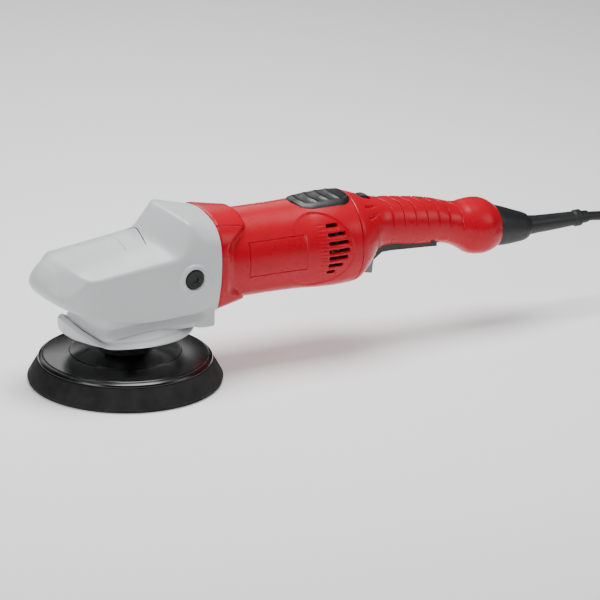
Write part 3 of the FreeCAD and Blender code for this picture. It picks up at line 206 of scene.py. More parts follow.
def sphere_directions(count: int) -> tuple[Array, list[list[int]]]:
    """Directions on a cube blown up to a sphere, and the quads between them."""
    turn = np.tan(np.linspace(-math.pi / 4, math.pi / 4, count + 1))
    a, b = spread(turn, turn)
    one = np.ones_like(a)
    sides = [(one, a, b), (-one, b, a), (b, one, a), (a, -one, b), (a, b, one), (b, a, -one)]
    points, faces = [], []
    for side in sides:
        base = len(points) * len(one)
        block = np.stack(side, 1)
        points.append(block / np.linalg.norm(block, axis=1)[:, None])
        faces += [[base + i for i in quad] for quad in grid_faces(count + 1, count + 1, False)]
    return np.concatenate(points), faces


def cast_skin(name: str, shape: Callable[[Array, Array, Array], Array], centre: Point,
              reach: float, count: int) -> bpy.types.Object:
    """Skin of a solid given by a distance-like function, seen from a point inside it.

    Args:
        name: the piece's name.
        shape: function of x, y and z that is negative inside the solid.
        centre: a point from which the whole skin can be seen.
        reach: the furthest the skin is from that point.
        count: quads along each side of the cube of directions.

    Returns:
        The new object.
    """
    rays, faces = sphere_directions(count)
    middle = np.array(centre)

    def inside(distance: Array) -> Array:
        return shape(*(middle + rays * distance[:, None]).T) < 0

    low = np.zeros(len(rays))
    open_end = np.ones(len(rays), bool)
    stride = 1.5
    for distance in np.arange(stride, reach, stride):
        held = inside(np.full(len(rays), distance)) & open_end
        low[held] = distance
        open_end &= held
    high = low + stride
    for _ in range(14):
        half = (low + high) / 2
        held = inside(half)
        low, high = np.where(held, half, low), np.where(held, high, half)
    return new_piece(name, middle + rays * low[:, None], faces)


def trim(piece: bpy.types.Object, point: Point, normal: Point) -> None:
    """Cuts away what lies beyond a plane, along the plane."""
    with opened(piece) as work:
        bmesh.ops.remove_doubles(work, verts=work.verts, dist=0.002 * MM)
        parts = work.verts[:] + work.edges[:] + work.faces[:]
        bmesh.ops.bisect_plane(work, geom=parts, plane_co=Vector(point) * MM, plane_no=Vector(normal),
                               clear_outer=True)


def cut_window(piece: bpy.types.Object, low: Point, high: Point) -> None:
    """Cuts an upright rectangular window through a skin, between two corners."""
    margin = 3.0
    with opened(piece) as work:
        for k, value in ((0, low[0]), (0, high[0]), (1, low[1]), (1, high[1])):
            near = [f for f in work.faces if within(f.calc_center_median(), low, high, margin)]
            parts = near + list({e for f in near for e in f.edges}) + list({v for f in near for v in f.verts})
            spot = Vector((0.0, 0.0, 0.0))
            spot[k] = value * MM
            normal = Vector((1.0 - k, float(k), 0.0))
            bmesh.ops.bisect_plane(work, geom=parts, plane_co=spot, plane_no=normal)
        gone = [f for f in work.faces if within(f.calc_center_median(), low, high, 0.0)]
        bmesh.ops.delete(work, geom=gone, context="FACES")


def within(spot: Vector, low: Point, high: Point, margin: float) -> bool:
    """Tells whether a point in metres is in a box in millimetres, with a margin."""
    return all(a - margin < v / MM < b + margin for v, a, b in zip(spot, low, high))


def settle(piece: bpy.types.Object) -> bpy.types.Object:
    """Turns an object's modifiers into mesh."""
    bpy.context.view_layer.update()
    graph = bpy.context.evaluated_depsgraph_get()
    done = bpy.data.meshes.new_from_object(piece.evaluated_get(graph))
    piece.modifiers.clear()
    piece.data = done
    return piece


def thicken(piece: bpy.types.Object, wall: float) -> bpy.types.Object:
    """Gives a skin a wall on its inner side."""
    with opened(piece) as work:
        bmesh.ops.remove_doubles(work, verts=work.verts, dist=0.002 * MM)
        bmesh.ops.recalc_face_normals(work, faces=work.faces)
    shell = piece.modifiers.new("Wall", "SOLIDIFY")
    shell.thickness = wall * MM
    shell.offset = -1.0
    return settle(piece)


def carve(piece: bpy.types.Object, cutters: Sequence[bpy.types.Object]) -> bpy.types.Object:
    """Subtracts cutters from a closed piece and removes them."""
    for cutter in cutters:
        cut = piece.modifiers.new("Cut", "BOOLEAN")
        cut.operation = "DIFFERENCE"
        cut.solver = "MANIFOLD"
        cut.object = cutter
    settle(piece)
    for cutter in cutters:
        bpy.data.objects.remove(cutter)
    return piece


def prism(name: str, outline: Sequence[Point], start: float, end: float, axis: str) -> bpy.types.Object:
    """Straight prism of an outline between two values along an axis.

    Args:
        name: the piece's name.
        outline: corners in the other two axes, in their alphabetical order.
        start: where it begins along the axis.
        end: where it ends along the axis.
        axis: "x", "y" or "z".

    Returns:
        The new object.
    """
    line = rounded(outline)
    count = len(line)
    points = []
    for level in (start, end):
        for u, v in line:
            points.append({"x": (level, u, v), "y": (u, level, v), "z": (u, v, level)}[axis])
    faces = grid_faces(2, count, True) + [list(range(count)), list(range(count, 2 * count))]
    piece = new_piece(name, np.array(points, float), faces)
    return finish_mesh(piece)


def soften(piece: bpy.types.Object, width: float, segments: int = 3) -> bpy.types.Object:
    """Rounds a piece's sharp edges by a width."""
    bevel = piece.modifiers.new("Soft edges", "BEVEL")
    bevel.width = width * MM
    bevel.segments = segments
    bevel.limit_method = "ANGLE"
    bevel.angle_limit = math.radians(30)
    bevel.harden_normals = True
    return piece


# ---------------------------------------------------------------- finishes
def linear(colour: str) -> tuple[float, float, float, float]:
    """Turns an sRGB hex colour to linear red, green, blue and alpha."""
    channels = []
    for k in (1, 3, 5):
        value = int(colour[k:k + 2], 16) / 255.0
        channels.append(value / 12.92 if value <= 0.04045 else ((value + 0.055) / 1.055) ** 2.4)
    return (*channels, 1.0)


def add_node(tree: bpy.types.NodeTree, kind: str, inputs: dict | None = None,
             **settings: object) -> bpy.types.Node:
    """Adds one node; an input is a plain value or another node's output to link."""
    node = tree.nodes.new(kind)
    for name, value in settings.items():
        setattr(node, name, value)
    for name, value in (inputs or {}).items():
        if isinstance(value, bpy.types.NodeSocket):
            tree.links.new(value, node.inputs[name])
        else:
            node.inputs[name].default_value = value
    return node


CLOUD_SIZE = 24.0
SMUDGE_SIZE = 14.0
WORN_FROM, WORN_TO = 0.53, 0.60


class Relief(Enum):
    """How a surface was made, which gives its fine relief."""

    MOULDED = "spark-eroded mould grain"
    FOAM = "open cells"
    HOOKS = "rows of hooks"
    BRUSHED = "grinding marks along X"
    TURNED = "turning marks round Z"
    LAMINATED = "stacked sheets along X"
    WOUND = "wire wound round X"


@dataclass(frozen=True)
class Finish:
    """One material with its process.

    Args:
        name: common name of the material and process.
        colour: sRGB hex colour.
        roughness: average roughness.
        relief: how the surface was made.
        pitch: size of the relief, in millimetres.
        depth: strength of the relief, in millimetres.
        metallic: 1 for bare metal.
        mottle: how far the colour wanders from its average, as a share.
        worn: how much edges lighten.
        glint: strength of the surface's reflection; 0.5 is that of plain plastic.
        glow: light that the surface gives off itself.
    """

    name: str
    colour: str
    roughness: float
    relief: Relief = Relief.MOULDED
    pitch: float = 0.35
    depth: float = 0.02
    metallic: float = 0.0
    mottle: float = 0.05
    worn: float = 0.0
    glint: float = 0.5
    glow: float = 0.0

    def make(self) -> bpy.types.Material:
        """Builds the material's nodes."""
        material = bpy.data.materials.new(self.name)
        material.use_nodes = True
        tree = material.node_tree
        shader = tree.nodes["Principled BSDF"]
        place = add_node(tree, "ShaderNodeTexCoord").outputs["Object"]
        cloud = add_node(tree, "ShaderNodeTexNoise",
                         {"Vector": place, "Scale": 1 / (CLOUD_SIZE * MM), "Detail": 5.0})
        base = linear(self.colour)
        light = tuple(min(1.0, c * (1 + self.mottle)) for c in base[:3]) + (1.0,)
        dark = tuple(c * (1 - self.mottle) for c in base[:3]) + (1.0,)
        tone = add_node(tree, "ShaderNodeMix", {"Factor": cloud.outputs["Fac"]}, data_type="RGBA")
        tone.inputs[6].default_value = dark
        tone.inputs[7].default_value = light
        colour = tone.outputs[2]
        if self.worn:
            edge = add_node(tree, "ShaderNodeNewGeometry").outputs["Pointiness"]
            ridge = add_node(tree, "ShaderNodeMapRange", {"Value": edge, "From Min": WORN_FROM,
                                                          "From Max": WORN_TO, "To Min": 0.0,
                                                          "To Max": self.worn})
            rubbed = add_node(tree, "ShaderNodeMix", {"Factor": ridge.outputs["Result"]}, data_type="RGBA")
            tree.links.new(colour, rubbed.inputs[6])
            rubbed.inputs[7].default_value = tuple(min(1.0, c * 1.5 + 0.05) for c in base[:3]) + (1.0,)
            colour = rubbed.outputs[2]
        tree.links.new(colour, shader.inputs["Base Color"])
        smudge = add_node(tree, "ShaderNodeTexNoise",
                          {"Vector": place, "Scale": 1 / (SMUDGE_SIZE * MM), "Detail": 2.0})
        span = 0.12 * self.roughness + 0.01
        polish = add_node(tree, "ShaderNodeMapRange", {"Value": smudge.outputs["Fac"], "From Min": 0.3,
                                                       "From Max": 0.7, "To Min": self.roughness - span,
                                                       "To Max": self.roughness + span})
        tree.links.new(polish.outputs["Result"], shader.inputs["Roughness"])
        shader.inputs["Metallic"].default_value = self.metallic
        shader.inputs["Specular IOR Level"].default_value = self.glint
        if self.glow:
            shader.inputs["Emission Color"].default_value = base
            shader.inputs["Emission Strength"].default_value = self.glow
        bump = add_node(tree, "ShaderNodeBump", {"Height": self.height(tree, place), "Strength": 1.0,
                                                 "Distance": self.depth * MM})
        tree.links.new(bump.outputs["Normal"], shader.inputs["Normal"])
        return material

    def height(self, tree: bpy.types.NodeTree, place: bpy.types.NodeSocket) -> bpy.types.NodeSocket:
        """Adds the nodes of the fine relief and returns their height."""
        scale = 1 / (self.pitch * MM)
        grain = {"Vector": place, "Scale": scale}
        if self.relief is Relief.MOULDED:
            return add_node(tree, "ShaderNodeTexNoise", grain | {"Detail": 3.0}).outputs["Fac"]
        if self.relief is Relief.FOAM:
            return add_node(tree, "ShaderNodeTexVoronoi", grain).outputs["Distance"]
        if self.relief is Relief.HOOKS:
            return add_node(tree, "ShaderNodeTexVoronoi", grain | {"Randomness": 0.35}).outputs["Distance"]
        if self.relief is Relief.LAMINATED:
            bands = add_node(tree, "ShaderNodeTexWave", grain | {"Scale": scale / 2}, bands_direction="X")
            return bands.outputs["Fac"]
        squeeze = {Relief.BRUSHED: (0.03, 1.0, 1.0), Relief.TURNED: (0.05, 0.05, 1.0),
                   Relief.WOUND: (1.0, 0.1, 0.1)}[self.relief]
        drawn = add_node(tree, "ShaderNodeMapping", {"Vector": place, "Scale": squeeze})
        marks = grain | {"Vector": drawn.outputs["Vector"], "Detail": 4.0}
        return add_node(tree, "ShaderNodeTexNoise", marks).outputs["Fac"]


# satin paint over a fine cast grain: soft broad highlights
GREY_PAINT = Finish("Satin enamel on die-cast alloy", "#c3c7c8", 0.40, pitch=0.7, depth=0.012,
                    mottle=0.025, worn=0.15)
# the cover's lighter skin: the same enamel, a little smoother
GREY_COVER = Finish("Satin enamel on moulded cover", "#c6cacb", 0.38, pitch=0.7, depth=0.010,
                    mottle=0.02, worn=0.15)
# fine spark grain over a saturated body colour, so its highlights stay faint
RED_NYLON = Finish("Gloss moulded glass-filled nylon", "#b8001e", 0.30, pitch=0.8, depth=0.006,
                   mottle=0.02, glint=0.25)
# hard black plate from a polished mould: mirrors the lights
BLACK_ABS = Finish("Polished black ABS", "#070707", 0.22, Relief.TURNED, pitch=0.8, depth=0.004, mottle=0.1)
# matte textured mouldings: grey bloom on the side towards the light
BLACK_NYLON = Finish("Textured black nylon", "#0d0e0f", 0.40, pitch=0.45, depth=0.03, mottle=0.08, worn=0.1)
# closed-cell polyurethane with a cut skin: nearly no highlight
BLACK_FOAM = Finish("Skinned polyurethane foam", "#0c0c0d", 0.88, Relief.FOAM, pitch=0.9, depth=0.05,
                    mottle=0.06)
# woven tape with plastic hooks: a rough, sparkless black
HOOK_TAPE = Finish("Woven hook tape", "#141415", 0.85, Relief.HOOKS, pitch=1.3, depth=0.5, mottle=0.15)
# vulcanised rubber, dull with a faint bloom
BLACK_RUBBER = Finish("Moulded black rubber", "#17181a", 0.50, pitch=0.5, depth=0.03, mottle=0.10, worn=0.08)
# extruded sheath: slightly shinier than the guard
CORD_RUBBER = Finish("Extruded rubber cord sheath", "#141416", 0.44, pitch=0.6, depth=0.02, mottle=0.08)
# plain grey lever moulding: even, dull grey
GREY_NYLON = Finish("Moulded grey nylon", "#74797a", 0.50, pitch=0.5, depth=0.02)
# blackened steel: dark, with a thin metal gleam on its rims
BLACK_OXIDE = Finish("Black oxide steel", "#101113", 0.36, Relief.TURNED, pitch=0.3, depth=0.01,
                     metallic=0.35, worn=0.2)
# ground and oiled: a bright, slightly streaked mirror
GROUND_STEEL = Finish("Ground bearing steel", "#b9babb", 0.26, Relief.TURNED, pitch=0.2, depth=0.006,
                      metallic=1.0)
# edges of stacked sheets: fine dark lines across a dull metal
MOTOR_SHEET = Finish("Stacked silicon steel sheet", "#5a5c60", 0.42, Relief.LAMINATED, pitch=0.5,
                     depth=0.05, metallic=1.0)
# varnished wire: warm copper with the gleam of each turn
ENAMEL_WIRE = Finish("Enamelled copper wire", "#a4502a", 0.30, Relief.WOUND, pitch=0.6, depth=0.12,
                     metallic=0.9)
# pressed powder: flat dark grey
CARBON = Finish("Pressed carbon", "#1a1a1b", 0.6, pitch=0.2, depth=0.01)
# rolled strip: yellow metal with lengthwise streaks
BRASS = Finish("Rolled brass", "#b78f4a", 0.30, Relief.BRUSHED, pitch=0.3, depth=0.01, metallic=1.0)
# thin bright plating: sharp reflections with a yellow cast
NICKEL = Finish("Nickel plated brass", "#c9c7be", 0.18, Relief.BRUSHED, pitch=0.3, depth=0.004, metallic=1.0)
# resin over woven glass: green with a soft shine
LAMINATE = Finish("Epoxy glass laminate", "#1c5a38", 0.4, pitch=0.6, depth=0.02)


class Wardrobe:
    """Makes each finish once and puts it on pieces."""

    def __init__(self) -> None:
        """Starts with nothing made."""
        self.made: dict[str, bpy.types.Material] = {}

    def dress(self, piece: bpy.types.Object, finish: Finish) -> None:
        """Gives a piece one finish all over."""
        if finish.name not in self.made:
            self.made[finish.name] = finish.make()
        piece.data.materials.clear()
        piece.data.materials.append(self.made[finish.name])


WARDROBE = Wardrobe()


def fit(piece: bpy.types.Object, body: str, slot: str, finish: Finish, *nodes: str) -> bpy.types.Object:
    """Dresses a piece, hangs it on its body and lets it stand for CAD nodes.

    Args:
        piece: the finished object.
        body: the CAD body that it moves with.
        slot: the record's material slot; not used.
        finish: what it is made of.
        nodes: CAD nodes that it replaces.

    Returns:
        The same piece.
    """
    WARDROBE.dress(piece, finish)
    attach(piece, body)
    if nodes:
        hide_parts(*nodes)
    LOG.info("%s rides on %s with %s", piece.name, body, finish.name)
    return piece


# ---------------------------------------------------------------- head
@dataclass
class HeadCover:
    """Light cover over the gears: crowned nose, hump with a flat, side bosses, lock button."""

    nose: float = -79.2
    back: float = 61.0
    low: float = 56.5
    half: float = 40.0
    boss: tuple[float, float] = (38.5, 86.8)
    boss_radius: float = 11.5
    button_x: tuple[float, float] = (-8.6, 8.6)
    button_half: float = 19.0
    wall: float = 2.6

    def roof(self, x: Array, y: Array, z: Array) -> Array:
        """Distance-like value above the crown, the hump's front and its flat."""
        side = np.abs(y)
        edge = 99.9 + 0.11 * x
        crest = 113.6 + 0.17 * x
        crown = edge + (crest - edge) * (1 - (side / self.half) ** 2)
        over_crown = (z - crown) * 0.85
        keel = 5.0 + 0.35 * (np.sqrt(side**2 + 16.0) - 4.0) + 0.0128 * side**2
        before_hump = (keel + 0.787 * (z - 114.4) - x) * 0.68
        flat = 137.2 - (x - 24.0) * 0.257 - 5.0 * (side / 29.0) ** 2.0
        hump = soft_max(before_hump, z - flat, 2.2)
        return soft_min(over_crown, hump, 4.0)

    def shape(self, x: Array, y: Array, z: Array) -> Array:
        """Distance-like value of the whole cover; negative inside."""
        side = np.abs(y)
        straight = self.half - 0.0012 * (z - 96.0) ** 2
        round_back = 41.2 - np.where(z > 94.5, 0.0075, 0.0055) * (z - 94.5) ** 2
        share = ease(10.0, 58.0, x)
        walls = side - (straight * (1 - share) + round_back * share)
        cheek = -0.419 * (x + 45.0) + 0.908 * (side - self.half)
        plan = soft_max(soft_max(walls, cheek, 4.0), self.nose - x, 26.0)
        keel = -0.243 * (x + 8.7) - 0.970 * (z - 57.0)
        chin = -0.56 * (x + 60.0) - 0.83 * (z - 68.8)
        plan = soft_max(soft_max(plan, keel, 3.0), chin, 7.0)
        rounding = 2.4 + 20.0 * ease(-45.0, -64.0, x) + 9.0 * ease(30.0, 52.0, x)
        whole = soft_max(plan, self.roof(x, y, z), rounding)
        reach = np.hypot(x - self.boss[0], z - self.boss[1])
        boss = soft_max(reach - self.boss_radius, side - 42.9, 1.6)
        whole = soft_min(whole, boss, 1.8)
        return soft_max(whole, -soft_max(reach - 8.3, 40.9 - side, 0.6), 0.6)

    def build(self) -> None:
        """Makes the cover, its button and the boss screws."""
        skin = cast_skin("cover_shell", self.shape, (-5.0, 0.0, 88.0), 110.0, 150)
        trim(skin, (0, 0, self.low), (0, 0, -1))
        trim(skin, (self.back, 0, 0), (1, 0, 0))
        front, rear = self.button_x
        cut_window(skin, (front, -self.button_half, 95.0), (rear, self.button_half, 125.0))
        thicken(skin, self.wall)
        finish_mesh(skin)
        fit(skin, "casing", "grey_plastic", GREY_COVER, "head_cover")
        self.build_button()
        self.build_screws()

    def build_button(self) -> None:
        """Lock button: a slab whose top continues the crown inside the window."""
        gap = 0.42
        front, rear = self.button_x[0] + gap, self.button_x[1] - gap
        half = self.button_half - 0.12
        xs = np.linspace(front, rear, 36)
        ys = np.linspace(-half, half, 76)
        x, y = spread(xs, ys)
        low, high = np.full(x.shape, 90.0), np.full(x.shape, 125.0)
        for _ in range(26):
            half_way = (low + high) / 2
            held = self.shape(x, y, half_way) < 0
            low, high = np.where(held, half_way, low), np.where(held, high, half_way)
        lip = 0.45 * np.maximum(ease(0.7, 0.0, x - front), ease(0.7, 0.0, rear - x))
        top = np.stack((x, y, low - lip), 1)
        foot = np.stack((x, y, np.maximum(low - 6.0, 93.0)), 1)
        count = len(x)
        faces = grid_faces(len(xs), len(ys), False)
        under = [[i + count for i in reversed(f)] for f in faces]
        rows, columns = len(xs), len(ys)
        rim = [c for c in range(columns)] + [r * columns + columns - 1 for r in range(1, rows)]
        rim += [(rows - 1) * columns + c for c in range(columns - 2, -1, -1)]
        rim += [r * columns for r in range(rows - 2, 0, -1)]
        walls = [[a, b, b + count, a + count] for a, b in zip(rim, rim[1:] + rim[:1])]
        button = new_piece("lock_key", np.concatenate((top, foot)), faces + under + walls)
        finish_mesh(button)
        fit(button, "spindle_lock", "grey_plastic", GREY_COVER, "lock_button")

    def build_screws(self) -> None:
        """Black star screws that close both side handle bosses."""
        for name, side in (("right", -1.0), ("left", 1.0)):
            inner, outer = 35.0 * side, 42.3 * side
            step = (outer - inner) / 6
            head = [(0, inner), (7.9, inner), (7.9, outer - step * 0.9, 0.6), (7.1, outer, 0.7),
                    (5.2, outer, 0.3), (4.9, outer - step * 0.35, 0.2), (0, outer - step * 0.35)]
            x, z = self.boss
            screw = lathe("boss_screw_" + name, head, (x, 0, z), "y", 96)
            star = []
            for k in range(12):
                reach = 3.6 if k % 2 == 0 else 2.45
                angle = math.radians(30 * k + 8)
                star.append((x + reach * math.cos(angle), z + reach * math.sin(angle), 0.5))
            cutter = prism("star", star, outer - 1.25 * side, outer + 2 * side, "y")
            carve(screw, [cutter])
            finish_mesh(screw, 30.0)
            nodes = ["boss_screws"] if side < 0 else []
            fit(screw, "casing", "screw_steel", BLACK_OXIDE, *nodes)


@dataclass
class GearCase:
    """Visible part of the cast case: collar with its lip, neck and rear block."""

    collar: float = 52.0
    foot: float = 41.9
    neck_half: float = 34.5
    neck_back: float = 59.5
    neck_low: float = 43.0
    skirt: float = 46.0

    def ridge(self, ahead: Array) -> Array:
        """Height of the neck's foot; ahead is in degrees from the nose's side."""
        return 47.0 + 5.9 * ease(40.0, 0.0, ahead) + 3.6 * ease(40.0, 110.0, ahead)

    def neck(self, x: Array, y: Array, z: Array) -> Array:
        """Distance-like value of the neck, which flares out at its foot."""
        side = np.abs(y)
        ahead = np.degrees(np.arccos(np.clip(-x / np.maximum(np.hypot(x, y), 1e-6), -1, 1)))
        plan = soft_max(side - self.neck_half, -0.879 * x + 0.476 * side - 42.1, 7.0)
        plan = soft_max(soft_max(plan, -44.5 - x, 8.0), x - self.neck_back, 3.0)
        above = z - self.ridge(ahead)
        flare = 3.2 * np.clip(1 - above / 6.0, 0.0, 1.0) * ease(54.0, 42.0, x)
        ending = np.where(x < 40.0, -3.5 - above, self.neck_low - z)
        foot = soft_max(plan - flare, ending, 0.7)
        return soft_max(soft_max(foot, self.neck_low - z, 3.0), z - 64.0, 1.0)

    def collar_profile(self, ahead: float) -> list[tuple[float, float]]:
        """Section of the collar in one direction, from the neck round to the skirt."""
        foot = float(self.ridge(np.array(ahead)))
        front = float(ease(54.0, 0.0, np.array(ahead)))
        dished = float(ease(54.0, 30.0, np.array(ahead)))
        fall = 0.38 * (1 - dished)
        rim = foot - 1.2 - 11.0 * fall
        lip = 44.2 + 9.6 * front
        low = foot - 1.6 - 2.6 * dished
        line = [(28.0, low + 1.0), (40.0, low, 3.0), (45.6, low - 4.6 * fall, 2.0),
                (47.0, rim * (1 - dished) + (lip - 0.6) * dished, 1.6),
                (49.2, (rim - 0.5) * (1 - dished) + (lip + 1.6) * dished, 2.4),
                (51.9, (rim - 1.6) * (1 - dished) + (lip - 1.2) * dished, 2.6),
                (self.collar, self.foot, 2.6), (self.skirt, self.foot, 0.8), (self.skirt, 46.0, 0.8),
                (28.0, 46.0)]
        return rounded(line, 6)

    def build(self) -> None:
        """Makes the neck and the collar with its swooping lip."""
        skin = cast_skin("gear_case_neck", self.neck, (4.0, 0.0, 57.0), 80.0, 100)
        finish_mesh(skin)
        fit(skin, "casing", "satin_grey_paint", GREY_PAINT, "gear_case")
        steps = 360
        rows = []
        for k in range(steps):
            turned = 2 * math.pi * k / steps
            ahead = math.degrees(abs(math.remainder(turned - math.pi, 2 * math.pi)))
            reach, height = np.array(self.collar_profile(ahead)).T
            rows.append(np.stack((reach * math.cos(turned), reach * math.sin(turned), height), 1))
        count = len(rows[0])
        faces = grid_faces(steps, count, True)
        last = (steps - 1) * count
        faces += [[last + c, last + (c + 1) % count, (c + 1) % count, c] for c in range(count)]
        collar = new_piece("gear_case_collar", np.concatenate(rows), faces)
        finish_mesh(collar, 32.0)
        fit(collar, "casing", "satin_grey_paint", GREY_PAINT)


# ---------------------------------------------------------------- pad
@dataclass
class BackingPad:
    """Round pad on the eccentric: hard plate, foam skirt and hook face."""

    x: float = -1.8
    y: float = -3.6
    face: float = 75.0

    def build(self) -> None:
        """Turns the three visible layers of the pad."""
        centre = (self.x, self.y, 0.0)
        plate = [(12.0, 10.0), (19.7, 10.0), (19.7, 17.0), (66.6, 17.0, 0.3), (66.9, 18.2, 0.3),
                 (66.3, 19.4, 0.5), (64.6, 20.2, 0.3), (63.9, 20.4, 0.2), (63.8, 20.9, 0.15),
                 (63.3, 21.3, 0.2), (62.9, 20.8, 0.1), (62.5, 21.1, 0.2), (43.1, 23.5, 0.2),
                 (42.9, 23.1, 0.1), (42.5, 23.9, 0.2), (42.0, 23.8, 0.2), (22.0, 26.6, 3.0),
                 (18.6, 31.0, 2.0), (18.0, 38.0, 0.5), (12.0, 38.0)]
        fit(lathe("pad_plate", plate, centre, "z", 220), "pad", "black_gloss", BLACK_ABS, "backing_plate")
        foam = [(20.0, 2.0), (74.0, 2.0, 0.4), (self.face, 3.3, 0.9), (71.5, 9.6, 30.0), (67.2, 16.9, 0.5),
                (66.0, 17.0), (20.0, 17.0)]
        skirt = lathe("pad_skirt", foam, centre, "z", 220)
        fit(skirt, "pad", "foam", BLACK_FOAM, "pad_foam")
        hooks = [(0.02, 0.0), (73.6, 0.0, 0.4), (74.0, 0.6, 0.3), (74.0, 2.0), (0.02, 2.0)]
        fit(lathe("pad_hooks", hooks, centre, "z", 200), "pad", "hook_fabric", HOOK_TAPE, "pad_hook_disc")


# ---------------------------------------------------------------- motor housing
@dataclass
class MotorHousing:
    """Red motor tube: stepped collar, label field, louvres and their bounding arc."""

    axis: float = 88.5
    front: float = 61.3
    back: float = 184.0
    wall: float = 2.6
    label_x: tuple[float, float] = (88.4, 136.4)
    label_z: tuple[float, float] = (78.6, 105.4)
    louvres: tuple[Point, ...] = ((20.4, 164.8), (14.3, 170.2), (8.0, 172.4), (1.8, 172.8),
                                  (-3.6, 171.4), (-9.8, 167.6), (-15.6, 161.8))
    louvre_start: float = 154.4
    louvre_height: float = 3.6
    profile: tuple[Point, ...] = ((61.3, 34.8), (100.0, 34.6), (128.0, 34.7), (142.0, 35.2), (158.0, 36.3),
                                  (172.0, 36.6), (184.0, 36.0))

    def radius(self, x: Array, angle: Array) -> Array:
        """Distance of the outer surface from the motor axis.

        Args:
            x: distance along the axis.
            angle: degrees up from the horizontal, over 90 on the far side.

        Returns:
            The radius with every step and recess in it.
        """
        base = through(self.profile, 1)(x)
        turned = np.radians(angle)
        power = 3.0
        box = (np.abs(np.cos(turned)) / 38.6) ** power + (np.abs(np.sin(turned)) / 38.0) ** power
        collar = box ** (-1 / power)
        lift = np.where(angle > 90.0, 180.0 - angle, angle)
        sweep = ease(22.0, 54.0, np.abs(lift - 1.0))
        start = 66.5 + 20.5 * sweep
        end = 75.5 + 14.5 * sweep
        taper = np.clip(1.12 - (x - 63.0) / 34.0, 0.0, 1.1)
        raised = (collar - base) * taper * (1 - ease(0.0, 1.0, (x - start) / (end - start)))
        lobe = 0.9 * ease(48.6, 50.4, lift) * (1 - ease(86.5, 88.5, x))
        radius = base + np.maximum(raised, 0.0) + lobe
        height = radius * np.sin(turned)
        side = np.abs(radius * np.cos(turned))
        arc = 29.3 - np.hypot(x - 147.0, height - 1.0)
        bowl = ease(-0.2, 1.0, arc) * (1 - ease(3.0, 15.0, arc)) * ease(126.0, 146.0, x)
        radius = radius - 0.85 * bowl * (side > 12)
        for level, stop in self.louvres:
            tall = self.louvre_height / 2
            middle = (self.louvre_start + stop) / 2
            long_side = (stop - self.louvre_start) / 2
            dx = np.maximum(np.abs(x - middle) - long_side + tall * 0.6, 0)
            dz = np.maximum(np.abs(height - level) - tall * 0.4, 0)
            edge = np.hypot(dx, dz) - tall * 0.6
            radius = radius - 0.5 * ease(0.75, -0.1, edge)
            lead = ease(146.0, 148.0, x) * (1 - ease(153.0, 154.5, x))
            groove = ease(0.55, 0.1, np.abs(np.abs(height - level) - tall * 0.85))
            radius = radius - 0.28 * lead * groove * (side > 12)
        near = ease(0.7, 0.0, np.abs(x - self.back)) * 0.4
        return radius - near

    def build(self) -> None:
        """Makes the tube with its slots, the label plate and the inlay."""
        xs = np.concatenate((np.linspace(self.front, 92.0, 78), np.linspace(92.4, 143.0, 60),
                             np.linspace(143.5, self.back, 92)))
        angles = np.linspace(-90.0, 270.0, 400, endpoint=False)
        x, angle = spread(xs, angles)
        radius = self.radius(x, angle)
        turned = np.radians(angle)
        points = np.stack((x, -radius * np.cos(turned), self.axis + radius * np.sin(turned)), 1)
        points = self.sink_label(points)
        tube = new_piece("motor_tube", points, grid_faces(len(xs), len(angles), True))
        thicken(tube, self.wall)
        cutters = []
        for level, stop in self.louvres:
            tall = self.louvre_height / 2 - 0.35
            z = self.axis + level
            start, end = self.louvre_start + 0.35, stop - 0.35
            outline = [(start, z - tall, 1.0), (end, z - tall, 1.0),
                       (end, z + tall, 1.0), (start, z + tall, 1.0)]
            cutters += [prism("slot", outline, -45.0, -15.0, "y"), prism("slot", outline, 15.0, 45.0, "y")]
        carve(tube, cutters)
        finish_mesh(tube, 35.0)
        fit(tube, "casing", "red_plastic", RED_NYLON, "motor_housing")
        self.build_label()
        self.build_inlay()

    def sink_label(self, points: Array) -> Array:
        """Presses the label's shallow recess into the near side."""
        (x0, x1), (z0, z1) = self.label_x, self.label_z
        x, y, z = points.T
        inside = np.minimum(np.minimum(x - x0, x1 - x), np.minimum(z - z0, z1 - z))
        deep = 0.8 * ease(-0.2, 0.15, inside) * (y < 0)
        out = np.stack((np.zeros_like(x), y, z - self.axis), 1)
        out /= np.linalg.norm(out, axis=1)[:, None]
        return points - out * deep[:, None]

    def build_label(self) -> None:
        """Blank plate that fills the recess and leaves a fine line round it."""
        gap = 0.2
        xs = np.linspace(self.label_x[0] + gap, self.label_x[1] - gap, 60)
        zs = np.linspace(self.label_z[0] + gap, self.label_z[1] - gap, 40)
        x, z = spread(xs, zs)
        edge = np.minimum(np.minimum(x - xs[0], xs[-1] - x), np.minimum(z - zs[0], zs[-1] - z))
        base = through(self.profile, 1)(x)
        lift = base - 0.12 - 0.25 * ease(0.5, 0.0, edge)
        y = -np.sqrt(lift**2 - (z - self.axis) ** 2)
        plate = new_piece("label_face", np.stack((x, y, z), 1), grid_faces(len(xs), len(zs), False))
        thicken(plate, 0.5)
        finish_mesh(plate)
        fit(plate, "casing", "label", RED_NYLON, "label_plate")

